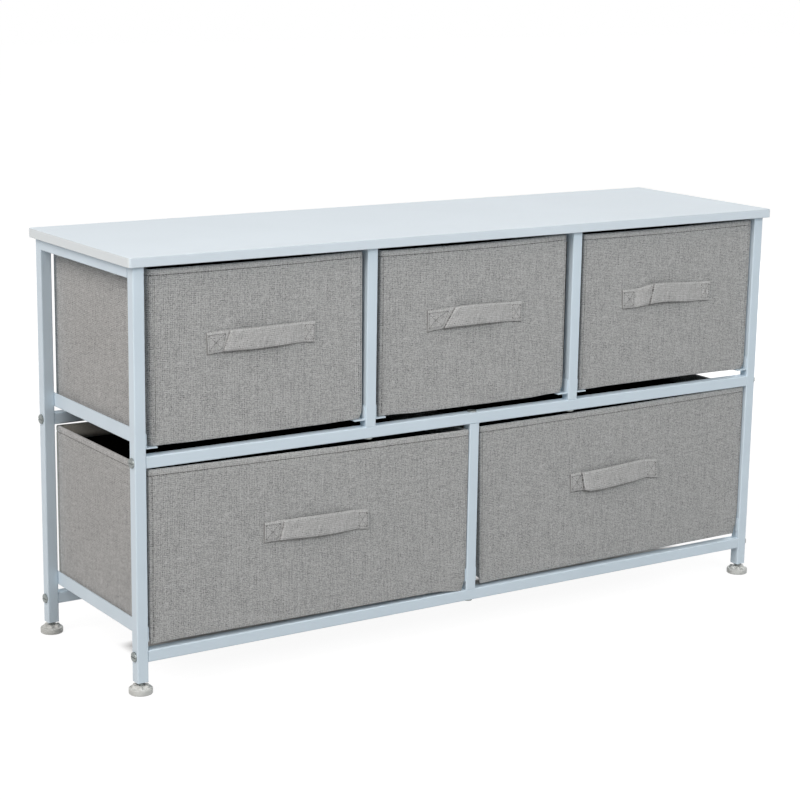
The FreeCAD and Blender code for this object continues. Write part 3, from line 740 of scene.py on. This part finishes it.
# %% Boards and lining
BOARD_FROM_MM = 1.25
BOARD_MM = 2.2
BASE_BOARD_MM = 3.0
BASE_Z_MM = 1.3
BOARD_BELOW_RIM_MM = 1.6
LINING_BELOW_RIM_MM = 3.0
BOARD_GAP_MM = 0.1
LINING_MM = 0.6
LINING_EDGE_MM = 12.0
LINING_CURVE_MM = 3.0


def slab(drawer, x_range, y_range, z_range, steps):
    """Six grids that close one thin board."""
    ranges = (x_range, y_range, z_range)
    grids = []
    for axis in range(3):
        a, b = [i for i in range(3) if i != axis]
        for end in (0, 1):
            grid = []
            for i in range(steps[a] + 1):
                row = []
                for j in range(steps[b] + 1):
                    point = [0.0, 0.0, 0.0]
                    point[axis] = ranges[axis][end]
                    point[a] = ranges[a][0] + (ranges[a][1] - ranges[a][0]) * i / steps[a]
                    point[b] = ranges[b][0] + (ranges[b][1] - ranges[b][0]) * j / steps[b]
                    row.append((drawer.settle(point), (point[a], point[b])))
                grid.append(row if (end == 1) != (axis == 1) else row[::-1])
            grids.append(grid)
    return grids


def make_boards(drawer):
    outer, inner = BOARD_FROM_MM * MM, (BOARD_FROM_MM + BOARD_MM) * MM
    gap = BOARD_GAP_MM * MM
    left_end, right_end = (max(corner, inner + gap) for corner in drawer.corner)
    tall = (drawer.z0 + BASE_Z_MM * MM, drawer.z1 - BOARD_BELOW_RIM_MM * MM)
    long_x = (drawer.x0 + left_end, drawer.x1 - right_end)
    long_y = (drawer.y0 + left_end, drawer.y1 - left_end)
    grids = []
    for y_range in ((drawer.y0 + outer, drawer.y0 + inner), (drawer.y1 - inner, drawer.y1 - outer)):
        grids += slab(drawer, long_x, y_range, tall, (24, 1, 16))
    for x_range in ((drawer.x0 + outer, drawer.x0 + inner), (drawer.x1 - inner, drawer.x1 - outer)):
        grids += slab(drawer, x_range, long_y, tall, (1, 20, 16))
    base_x = (drawer.x0 + inner + gap, drawer.x1 - inner - gap)
    base_y = (drawer.y0 + inner + gap, drawer.y1 - inner - gap)
    base_z = (tall[0], tall[0] + (BASE_BOARD_MM - 0.2) * MM)
    grids += slab(drawer, base_x, base_y, base_z, (24, 20, 1))
    sew_piece(drawer, "fitted_boards", "boards", board_grey, grids)


def make_lining(drawer):
    stops = walk_outline(drawer)
    depth = (WALL_MM - 0.55) * MM
    curve = LINING_CURVE_MM * MM
    floor_z = drawer.z0 + (BASE_Z_MM + BASE_BOARD_MM) * MM + LINING_MM * MM
    heights = spread(drawer.z1 - LINING_BELOW_RIM_MM * MM, floor_z + curve, 14 * MM)
    profile = [(depth, z) for z in heights]
    profile += arc(depth + curve, floor_z + curve, curve, 2, 1, 4, 1) + [(LINING_EDGE_MM * MM, floor_z)]
    wall = []
    for stop in stops:
        row = [(drawer.settle((*stop.inset(drawer, inset), z)), (stop.walked, z - inset))
               for inset, z in profile]
        wall.append(row[::-1])
    across = floor_grid(drawer, stops, LINING_EDGE_MM * MM, floor_z)
    floor = [column[::-1] for column in zip(*across)]
    sew_piece(drawer, "black_lining", "lining", black_felt, [wall, floor], LINING_MM)


print("boards", BOARD_MM, "mm, lining", LINING_MM, "mm")

# %% [markdown]
# ## Stitches
# A lockstitch shows as a row of short threads lying in a groove, one every 4 mm. Each is a tiny capsule
# bent into the cloth at both ends. They are small, but light catches them, and the hem reads as sewn.

# %% Stitches
STITCH_PITCH_MM = 4.0
STITCH_FROM_SEAM_MM = 1.1
STITCH_MM = 3.1
THREAD_RADIUS_MM = 0.28
# along a stitch: how far, how thick, and how high over the cloth, in thread radii
STITCH_SHAPE = ((0.0, 0.25, -0.6), (0.12, 0.8, 0.1), (0.5, 1.0, 0.45), (0.88, 0.8, 0.1), (1.0, 0.25, -0.6))
THREAD_SIDES = 6


def stitch(shape, start, end, out, radius):
    """One thread from start to end, arched away from the cloth."""
    layer = shape.loops.layers.uv.verify()
    along = (end - start).normalized()
    side = along.cross(out).normalized()
    rings = []
    for t, size, lift in STITCH_SHAPE:
        middle = start.lerp(end, t) + out * radius * lift
        ring = []
        for i in range(THREAD_SIDES):
            angle = math.tau * i / THREAD_SIDES
            offset = math.cos(angle) * side + math.sin(angle) * out
            ring.append(shape.verts.new(middle + radius * size * offset))
        rings.append(ring)
    for k in range(len(rings) - 1):
        for i in range(THREAD_SIDES):
            after = (i + 1) % THREAD_SIDES
            face = shape.faces.new((rings[k][i], rings[k][after], rings[k + 1][after], rings[k + 1][i]))
            face.smooth = True
            for loop, stop in zip(face.loops, (k, k, k + 1, k + 1)):
                loop[layer].uv = (STITCH_SHAPE[stop][0], 0.5)
    for ring, t in ((rings[0][::-1], 0.0), (rings[-1], 1.0)):
        for loop in shape.faces.new(ring).loops:
            loop[layer].uv = (t, 0.5)


def sew_line(shape, points, outs, pitch_mm=STITCH_PITCH_MM, length_mm=STITCH_MM, radius_mm=THREAD_RADIUS_MM):
    """Stitches along a line of close points, each with its own outward direction."""
    gone = [0.0]
    for a, b in zip(points, points[1:]):
        gone.append(gone[-1] + (b - a).length)

    def at(distance):
        for i in range(len(points) - 1):
            if gone[i + 1] >= distance:
                t = (distance - gone[i]) / max(1e-9, gone[i + 1] - gone[i])
                return points[i].lerp(points[i + 1], t), outs[i].lerp(outs[i + 1], t).normalized()
        return points[-1], outs[-1]

    count = int(gone[-1] / (pitch_mm * MM))
    for k in range(count):
        begin = (k + 0.5) * gone[-1] / count - length_mm * MM / 2
        start, out = at(begin)
        end, _ = at(begin + length_mm * MM)
        stitch(shape, start, end, out, radius_mm * MM)
    return count


def new_stitches():
    """An empty shape whose threads carry their length in the UV map named cloth."""
    shape = bmesh.new()
    shape.loops.layers.uv.new("cloth")
    return shape


def finish_stitches(shape, drawer, what, material):
    bmesh.ops.recalc_face_normals(shape, faces=shape.faces)
    to_piece(shape, f"{drawer.name}_{what}", drawer.name, material)


def sew_drawer(drawer):
    """The hem line round the rim and the stitches beside the front's left seam."""
    shape = new_stitches()
    sunk = (SEAM_DEPTH_MM - 0.12) * MM
    hem_z = drawer.z1 - drawer.hem
    stops = walk_outline(drawer, 4.0)
    points = [drawer.settle((*stop.inset(drawer, sunk), hem_z)) for stop in stops]
    total = sew_line(shape, points, [Vector((*stop.out, 0.0)) for stop in stops])
    x = drawer.x0 + drawer.seam[0] + STITCH_FROM_SEAM_MM * MM
    heights = spread(drawer.z0 + 5 * MM, hem_z - 2 * MM, 4 * MM)
    line = [drawer.settle((x, drawer.y0 + 0.02 * MM, z)) for z in heights]
    total += sew_line(shape, line, [Vector((0.0, -1.0, 0.0))] * len(line))
    finish_stitches(shape, drawer, "stitching", thread)
    return total


print("a stitch every", STITCH_PITCH_MM, "mm")

# %% [markdown]
# ## The strap handles
# A handle is a flat tube of the same cloth, sewn down at both ends with a box of stitches and left slack
# between. The slack falls to one end, so each strap breaks over in its own slanted crease. A strap is a
# ribbon between its top and bottom edge, and a short list of stations says where the edges go.

# %% Strap ribbon
STRAP_MM = 1.7
FOLDED_MM = 2.8
STRAP_PITCH_MM = 2.9
STRAP_STITCH_MM = 2.4
STRAP_THREAD_MM = 0.3
STRAP_WIDE_MM = 25
ROWS_PER_GAP = 8


def curve_between(values, t):
    """A smooth curve through the stations' values at place t, counted in stations."""
    i = min(int(t), len(values) - 2)
    f = t - i
    p0, p1, p2, p3 = values[max(i - 1, 0)], values[i], values[i + 1], values[min(i + 2, len(values) - 1)]
    m1 = 0.5 * (p2 - p0)
    m2 = 0.5 * (p3 - p1)
    if (p1 - p0) * (p2 - p1) <= 0:
        m1 = 0.0
    if (p2 - p1) * (p3 - p2) <= 0:
        m2 = 0.0
    return (2 * f ** 3 - 3 * f ** 2 + 1) * p1 + (f ** 3 - 2 * f ** 2 + f) * m1 \
        + (3 * f ** 2 - 2 * f ** 3) * p2 + (f ** 3 - f ** 2) * m2


def ribbon_edges(drawer, places):
    """The top and bottom edge of the strap's back as points, and its thickness, along the strap."""
    low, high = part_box(drawer.name + "_handle")
    columns = [list(map(float, column)) for column in zip(*places)]
    rows = []
    for k in range((len(places) - 1) * ROWS_PER_GAP + 1):
        top_x, bottom_x, top_out, bottom_out, top_drop, bottom_drop, thick = [
            curve_between(column, k / ROWS_PER_GAP) for column in columns]
        top_at = drawer.settle((low[0] + top_x * MM, drawer.y0, high[2] - top_drop * MM))
        bottom_at = drawer.settle((low[0] + bottom_x * MM, drawer.y0, low[2] - bottom_drop * MM))
        top_at.y -= top_out * MM
        bottom_at.y -= bottom_out * MM
        rows.append((top_at, bottom_at, thick * MM))
    return rows


def ribbon_grid(rows, across=8):
    """The closed skin of a ribbon as one grid: front face, bottom fold, back face and top fold."""
    grid, gone = [], 0.0
    for index, (top_at, bottom_at, thick) in enumerate(rows):
        before, after = rows[max(index - 1, 0)], rows[min(index + 1, len(rows) - 1)]
        along = ((after[0] + after[1]) - (before[0] + before[1])).normalized()
        down = (bottom_at - top_at).normalized()
        out = along.cross(down).normalized()
        if out.y > 0:
            out.negate()
        if index:
            gone += ((top_at + bottom_at) / 2 - (before[0] + before[1]) / 2).length
        half = thick / 2
        # painted shade: the strap's left end and its steep crease are marked to darken the cloth
        deep = 0.85 if abs(along.y) > 0.75 * abs(along.x) or index == 0 else 0.0
        ring = []
        for j in range(across + 1):
            at = top_at.lerp(bottom_at, j / across)
            ring.append((at + out * thick, (gone, -j / across * STRAP_WIDE_MM * MM), (deep, 0.0)))
        # painted contact shadow along the fold under the strap's bottom edge
        low_fold = bottom_at + out * half + down * half * 0.8
        ring.append((low_fold, (gone, -(STRAP_WIDE_MM + 1) * MM), (0.9, 0.0)))
        for j in range(across + 1):
            at = bottom_at.lerp(top_at, j / across)
            ring.append((at, (gone, -(STRAP_WIDE_MM + 2) * MM - j / across * STRAP_WIDE_MM * MM)))
        ring.append((top_at + out * half - down * half * 0.8, (gone, -(2 * STRAP_WIDE_MM + 3) * MM)))
        ring.append((ring[0][0], (gone, -(2 * STRAP_WIDE_MM + 4) * MM)))
        grid.append(ring)
    return grid


def end_cap(ring):
    """Closes a ribbon's end: pairs the points of its front with those of its back."""
    count = (len(ring) - 3) // 2
    front = ring[:count]
    back = ring[count + 1:2 * count + 1][::-1]
    return [front, back]


def box_stitches(shape, rows, from_row, to_row):
    """A stitched box with a cross in it, on the sewn end between two rows of the ribbon."""
    def on_strap(s, w):
        at = from_row + (to_row - from_row) * s
        i = min(int(at), len(rows) - 2)
        top_at = rows[i][0].lerp(rows[i + 1][0], at - i)
        bottom_at = rows[i][1].lerp(rows[i + 1][1], at - i)
        lifted = rows[i][2] + 0.05 * MM
        return top_at.lerp(bottom_at, w) + Vector((0, -lifted, 0))

    corners = ((0.12, 0.12), (0.88, 0.12), (0.88, 0.88), (0.12, 0.88))
    lines = [(corners[i], corners[(i + 1) % 4]) for i in range(4)]
    lines += [(corners[0], corners[2]), (corners[1], corners[3])]
    out = Vector((0, -1, 0))
    for (s0, w0), (s1, w1) in lines:
        points = [on_strap(s0 + (s1 - s0) * k / 8, w0 + (w1 - w0) * k / 8) for k in range(9)]
        sew_line(shape, points, [out] * 9, STRAP_PITCH_MM, STRAP_STITCH_MM, STRAP_THREAD_MM)


def make_handle(drawer, places):
    rows = ribbon_edges(drawer, places)
    grid = ribbon_grid(rows)
    grids = [grid, end_cap(grid[0]), end_cap(grid[-1])[::-1]]
    sew_piece(drawer, "strap_handle", "handle", strap_weave, grids)
    shape = new_stitches()
    last = len(rows) - 1
    for from_row, to_row in ((1, 15), (last - 15, last - 1)):
        box_stitches(shape, rows, from_row, to_row)
    finish_stitches(shape, drawer, "handle_stitching", strap_thread)


print("straps", STRAP_MM, "mm thick,", FOLDED_MM, "mm where the end is folded under")

# %% [markdown]
# ## The five drawers
# The three upper drawers are alike, and so are the two wide ones below, but each has settled in its own
# way. Each strap has its own slack too. A station of a strap gives its top edge and bottom edge: how far
# along, how far off the front, and how far down. Where it lies flat it is sewn on, with its end folded under.

# %% Make the drawers
UPPER = {"hem_mm": 7.4, "wrap_mm": UPPER_WRAP_MM}
LOWER = {"hem_mm": 8.0, "wrap_mm": LOWER_WRAP_MM, "flap_mm": 4.8}
# each drawer's seam and strip shade values are painted shade by its seams and its left corner
DRAWERS = {
    "upper_left_drawer": dict(UPPER, corner_mm=7.0, seam_mm=7.4, seam_tone=0.2, painted_strip_shade=1.9, sag_mm=0.8,
                              rim_rise=(0, 1.8), out_left=(0.4, 0.4), out_right=(4.4, 2.4),
                              corner_low=(0.25, 0), seed=1),
    "upper_middle_drawer": dict(UPPER, corner_mm=3.0, seam_mm=4.0, seam_tone=0.35, painted_strip_shade=0.6, sag_mm=1.6,
                                rim_rise=(0, 2.4), out_right=(0.4, -0.6), seed=2),
    "upper_right_drawer": dict(UPPER, corner_mm=2.5, seam_mm=3.2, seam_tone=0.1, painted_strip_shade=0.3, sag_mm=-0.8,
                               rim_rise=(0, 2.2), out_right=(4.6, 4.8), seed=3),
    "lower_left_drawer": dict(LOWER, corner_mm=4.0, seam_mm=4.4, seam_tone=0.5, painted_strip_shade=0.7, hang_mm=4.8,
                              rim_fall=(0, 5.0), out_left=(1.0, 1.0), out_right=(3.5, 3.5),
                              corner_low=(1.0, 4.2), seed=4),
    "lower_right_drawer": dict(LOWER, corner_mm=2.5, seam_mm=3.0, seam_tone=0.2, painted_strip_shade=0.6, hang_mm=5.2,
                               rim_fall=(4.4, 0), rim_rise=(0, 1.7), out_left=(-6.0, 0.0),
                               out_right=(3.5, 3.2), corner_low=(0.8, 0), seed=5),
}


def crease(top, bottom, lift, top_drop, bottom_drop):
    """Stations where a strap breaks over: flat cloth, then a steep step that leans back a little."""
    steps = ((-1.2, 0.1, 0.0, FOLDED_MM - 0.4), (0.2, 0.4, 0.0, STRAP_MM),
             (-0.3, lift * 0.62, 0.2, STRAP_MM), (1.6, lift, 0.4, STRAP_MM))
    return [(top + along, bottom + along, off, off, top_drop - up, bottom_drop - up, thick)
            for along, off, up, thick in steps]


def stations(*rows):
    """Stations with their thickness: the strap is folded where it lies flat on the front."""
    return [(*row, STRAP_MM if row[2] or row[3] else FOLDED_MM) for row in rows]


# top along, bottom along, top off, bottom off, top down, bottom down, all in mm
STATIONS = {
    "upper_left_drawer": stations((-1, 0, 0, 0, -0.9, -0.5), (11, 11, 0, 0, -1.3, -1.2))
    + crease(32, 22.4, 3.6, -1.9, -2.1) + stations(
        (46, 38, 4.2, 4.5, -2.6, -2.7), (66, 60, 4.4, 5.0, -2.6, -2.3), (100, 94, 4.0, 4.4, -2.8, -2.7),
        (122, 121, 2.2, 2.4, -2.5, -3.4), (132, 132, 0.5, 0.5, -2.2, -3.4), (140, 140, 0, 0, -1.8, -2.7),
        (149.5, 149.5, 0, 0, -1.4, -2.0)),
    "upper_middle_drawer": stations((-0.5, 0.5, 0, 0, -1.0, 0.5), (12, 12, 0, 0, -1.1, -0.7))
    + crease(42.5, 26.2, 3.8, -2.2, -1.9) + stations(
        (52, 40, 4.4, 5.0, -4.0, -3.2), (69, 62, 4.5, 5.8, -3.8, -3.5), (99, 90, 4.0, 4.8, -3.0, -3.3),
        (120, 118, 2.0, 2.4, -2.0, -2.4), (131, 131, 0.5, 0.5, -1.3, -1.6), (139, 139, 0, 0, -0.8, -1.0),
        (148.5, 148.8, 0, 0, -0.2, -0.4)),
    "upper_right_drawer": stations((-4, -2.8, 0, 0, -2.3, -2.7), (8, 8, 0, 0, -2.3, -2.3))
    + crease(20, 20, 1.4, -2.3, -2.4) + stations(
        (29, 30, 2.6, 2.2, -4.0, -3.6), (40, 37, 3.6, 2.8, -6.6, -4.8), (50.0, 43.8, 3.0, 2.6, -7.6, -5.8),
        (49.6, 43.4, 4.6, 4.4, -7.8, -6.0), (51.4, 45.4, 5.6, 5.4, -7.9, -6.2),
        (60, 56, 5.2, 5.4, -7.8, -6.7), (74, 72, 4.6, 5.0, -7.2, -6.6), (100, 98, 3.2, 3.6, -5.5, -4.6),
        (122, 122, 1.6, 1.8, -4.0, -2.8), (134, 134, 0.4, 0.4, -3.3, -2.4), (144, 144, 0, 0, -2.8, -2.1),
        (153.5, 151.5, 0, 0, -2.5, -1.8)),
    "lower_left_drawer": stations((-2.4, -2.2, 0, 0, -1.3, -1.6), (9, 9, 0, 0, -0.9, -1.7))
    + crease(27, 20.5, 3.4, -1.8, -1.8) + stations(
        (40, 34, 4.0, 4.2, -2.3, -2.2), (64, 56, 4.4, 4.8, -2.0, -1.2), (86, 80, 4.2, 4.8, -1.9, -0.6),
        (105, 102, 3.2, 3.8, -1.3, -0.5), (124, 122, 1.8, 2.0, -1.0, -0.8), (133, 133, 0.4, 0.4, -0.2, -0.8),
        (140, 140, 0, 0, 0.6, 0.1), (149.5, 149.8, 0, 0, 1.6, 0.9)),
    "lower_right_drawer": stations((-2.6, -0.9, 0, 0, -0.6, -1.6), (8, 9, 0, 0, -1.0, -1.8))
    + crease(17, 22.5, 4.4, -1.3, -1.4) + stations(
        (27, 30, 4.8, 6.0, -1.7, 0.0), (42, 48, 4.8, 6.0, -2.2, 0.3), (61, 75, 4.8, 5.2, -3.1, -0.9),
        (90, 100, 4.4, 4.4, -4.5, -2.2), (114, 120, 2.6, 2.6, -5.0, -3.5), (128, 131, 0.6, 0.6, -4.2, -3.9),
        (139, 141, 0, 0, -3.0, -2.6), (149.3, 152, 0, 0, -1.9, -1.4)),
}
for name, settled in DRAWERS.items():
    drawer = Drawer(name, **settled)
    make_cover_and_back(drawer)
    make_boards(drawer)
    make_lining(drawer)
    stitches = sew_drawer(drawer)
    make_handle(drawer, STATIONS[name])
    print(name, "sewn with", stitches, "stitches")

# %% [markdown]
# ## Levelling feet
# Each foot is a moulded pad on a threaded stud. The pad's hub is a low star of six lobes to grip with the
# fingers. A profile is turned round the stud in small steps, and its height rises and falls with the
# angle to raise the lobes. The stud's radius follows the thread's ridge as it climbs round.

# %% Feet
LOBES = 6
THREAD_PITCH_MM = 1.25
STUD_RADIUS_MM = 4.0
THREAD_DEPTH_MM = 0.65
PAD_SEGMENTS = 72
STUD_SEGMENTS = 24
PAD_BORE_MM = 4.1
PAD_RIM_MM = 14.8
PAD_RIM_Z_MM = 7.6
PAD_HUB_Z_MM = 11.0
STUD_FROM_MM = 3.0


def around(centre, radius_mm, angle, z_mm):
    """A point at a distance and an angle from a foot's axis."""
    return Vector((centre[0] + radius_mm * MM * math.cos(angle), centre[1] + radius_mm * MM * math.sin(angle),
                   z_mm * MM))


def pad_height(radius, angle):
    """Height of the pad's top in mm: a hub with lobes that slopes down to the flat rim."""
    lobe = smooth_step(0.0, 1.0, 0.5 + 0.5 * math.cos(LOBES * angle))
    reach = 10.4 + 2.4 * lobe
    slope = 1 - smooth_step(reach - 3.0, reach, radius)
    sunk = 1.3 * (1 - lobe) * smooth_step(5.0, 8.5, radius)
    return PAD_RIM_Z_MM + (PAD_HUB_Z_MM - PAD_RIM_Z_MM - sunk) * slope


def pad_profile(angle):
    """The pad's outline at one angle as (radius, height) in mm, from inside the bore to the sole."""
    profile = [(PAD_BORE_MM, STUD_FROM_MM), (PAD_BORE_MM, 8.0), (PAD_BORE_MM, PAD_HUB_Z_MM - 0.5),
               (PAD_BORE_MM + 0.5, PAD_HUB_Z_MM)]
    profile += [(r, pad_height(r, angle)) for r in spread(5.2, 13.0, 0.55)]
    profile += arc(PAD_RIM_MM - 1.7, PAD_RIM_Z_MM - 1.7, 1.7, 1, -1, 5)
    profile += arc(PAD_RIM_MM - 1.2, 1.2, 1.2, 0, -1, 4)
    return profile + [(6.0, 0.0), (0.0, 0.0)]


def make_pad(body, centre):
    angles = [math.tau * i / PAD_SEGMENTS for i in range(PAD_SEGMENTS + 1)]
    skin = [[(around(centre, r, angle, z), (angle * 10 * MM, k * MM))
             for k, (r, z) in enumerate(pad_profile(angle))] for angle in angles]
    seat = [[(around(centre, r, angle, STUD_FROM_MM), (r * MM, 0.0)) for r in (0.0, PAD_BORE_MM)]
            for angle in angles]
    return build_piece(body + "_pad", body, foot_white, [skin, seat])


def make_stud(body, centre, top_mm):
    rows = []
    for i in range(STUD_SEGMENTS + 1):
        angle = math.tau * i / STUD_SEGMENTS
        row = [(around(centre, 0.0, 0.0, STUD_FROM_MM), (0.0, 0.0))]
        for z in spread(STUD_FROM_MM, top_mm, 0.3):
            turn = (z / THREAD_PITCH_MM - i / STUD_SEGMENTS) % 1.0
            r = STUD_RADIUS_MM - THREAD_DEPTH_MM * abs(2 * turn - 1)
            r *= min(1.0, (top_mm - z) / 0.9 + 0.75)
            row.append((around(centre, r, angle, z), (angle * 4 * MM, z * MM)))
        row.append((around(centre, 0.0, 0.0, top_mm), (0.0, 0.0)))
        rows.append(row[::-1])
    return build_piece(body + "_stud", body, zinc, [rows], weld=0.005 * MM)


for body in ("foot_front_left", "foot_front_right", "foot_rear_left", "foot_rear_right"):
    low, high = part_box(body)
    centre = ((low[0] + high[0]) / 2, (low[1] + high[1]) / 2)
    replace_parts(make_pad(body, centre), body)
    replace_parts(make_stud(body, centre, high[2] / MM), body)
    print(body, "stands at", [round(c / MM, 1) for c in centre])

# %% [markdown]
# ## Floor and backdrop
# The room is a white sweep. The floor stays plain for the dresser, so that it bounces a natural amount of
# light, and turns white only for the camera and in mirror images. It keeps a faint shadow under the feet.
# A narrow strip under the middle of the dresser stays plain paper, so that the slit under the drawers
# looks dark.

# %% Floor and backdrop
NEAR_GLOW = 0.93
ROOM_LIGHT = 0.02
FLOOR_REACH = 14.0
# the strip of plain paper: along each axis where it starts, is full, begins to fade and ends, in metres
PLAIN_STRIP = (("X", -0.435, -0.412, 0.46, 0.5), ("Y", -0.012, 0.008, 0.03, 0.05))


def plain_strip(tree, place):
    """1 on the strip of plain paper, 0 elsewhere."""
    apart = add(tree, "SeparateXYZ", place)
    inside = 1.0
    for axis, start, full, fade, end in PLAIN_STRIP:
        rise = add(tree, "MapRange", apart.outputs[axis], From_Min=start, From_Max=full)
        fall = add(tree, "MapRange", apart.outputs[axis], From_Min=fade, From_Max=end, To_Min=1.0, To_Max=0.0)
        band = add(tree, "Math MULTIPLY", rise, fall)
        inside = add(tree, "Math MULTIPLY", band, inside)
    return inside


def seen_by_eye(tree):
    """1 for rays from the eye, straight, mirrored or through something clear; 0 for bounced light."""
    rays = add(tree, "LightPath").outputs
    seen = add(tree, "Math MAXIMUM", rays["Is Camera Ray"], rays["Is Glossy Ray"])
    return add(tree, "Math MAXIMUM", seen, rays["Is Transmission Ray"])


def white_floor():
    """Plain matt paper to the light; to the eye it glows white and is only dimmed by the shadow."""
    material, tree, shader = finish("white_sweep", Roughness=0.9, Specular_IOR_Level=0.0)
    place = add(tree, "TexCoord").outputs["Object"]
    paper = add(tree, "TexNoise", place, Scale=3.0, Detail=2.0)
    feed(tree, shader, Base_Color=tones(tree, paper, (0.3, "#C4C4C4"), (0.7, "#C8C8C8")))
    from_middle = add(tree, "VectorMath LENGTH", place).outputs["Value"]
    glow = add(tree, "MapRange", from_middle, From_Min=0.9, From_Max=1.8, To_Min=NEAR_GLOW, To_Max=1.0)
    veil = add(tree, "BsdfDiffuse", Color=linear("#626262"))
    white = add(tree, "AddShader", veil, add(tree, "Emission", Strength=glow))
    shown = add(tree, "MixShader", plain_strip(tree, place), white, shader)
    mixed = add(tree, "MixShader", seen_by_eye(tree), shader, shown)
    feed(tree, tree.nodes["Material Output"], Surface=mixed)
    return material


floor_mesh = bpy.data.meshes.new("floor")
floor_corners = [(x * FLOOR_REACH, y * FLOOR_REACH, 0) for x, y in ((-1, -1), (1, -1), (1, 1), (-1, 1))]
floor_mesh.from_pydata(floor_corners, [], [(0, 1, 2, 3)])
show("floor", floor_mesh, white_floor())
world = bpy.data.worlds.new("white_room")
bpy.context.scene.world = world
world.use_nodes = True
room = world.node_tree
strength = add(room, "MapRange", seen_by_eye(room), To_Min=ROOM_LIGHT, To_Max=1.0)
feed(room, room.nodes["Background"], Color=(1.0, 1.0, 1.0, 1.0), Strength=strength)
print("room light", ROOM_LIGHT)

# %% [markdown]
# ## Light
# Four soft boxes light the dresser. The top box gives the bright board, the left one the slightly warm side
# and the key the cold front. The back box lights what is seen on a walk round it. The left and back boxes
# don't show in mirror images, so that the board keeps its tone when it is seen from the right.

# %% Soft boxes
# name: place, target, size in metres, watts, colour, whether it shows in mirror images
SOFT_BOXES = {
    "top_box": ((0.2, -0.3, 2.9), (0.0, 0.0, 0.4), 2.4, 9.3, "#FFFFFF", True),
    "left_box": ((-3.4, -0.85, 3.0), (0.0, 0.0, 0.3), 2.8, 152.0, "#FFF8F4", False),
    "key_box": ((0.1, -2.8, 2.1), (0.0, 0.0, 0.3), 1.3, 54.0, "#FFFFFF", True),
    "back_box": ((2.4, 2.2, 0.85), (0.0, 0.0, 0.3), 1.4, 80.0, "#FFFFFF", False),
}
for name, (place, target, size, watts, colour, mirrored) in SOFT_BOXES.items():
    light = bpy.data.lights.new(name, "AREA")
    light.shape = "SQUARE"
    light.size = size
    light.energy = watts
    light.color = linear(colour)[:3]
    lamp = bpy.data.objects.new(name, light)
    bpy.context.scene.collection.objects.link(lamp)
    lamp.visible_glossy = mirrored
    lamp.location = place
    lamp.rotation_euler = (Vector(target) - Vector(place)).to_track_quat("-Z", "Y").to_euler()
bpy.context.scene.view_settings.view_transform = "Standard"
print("soft boxes:", ", ".join(SOFT_BOXES))
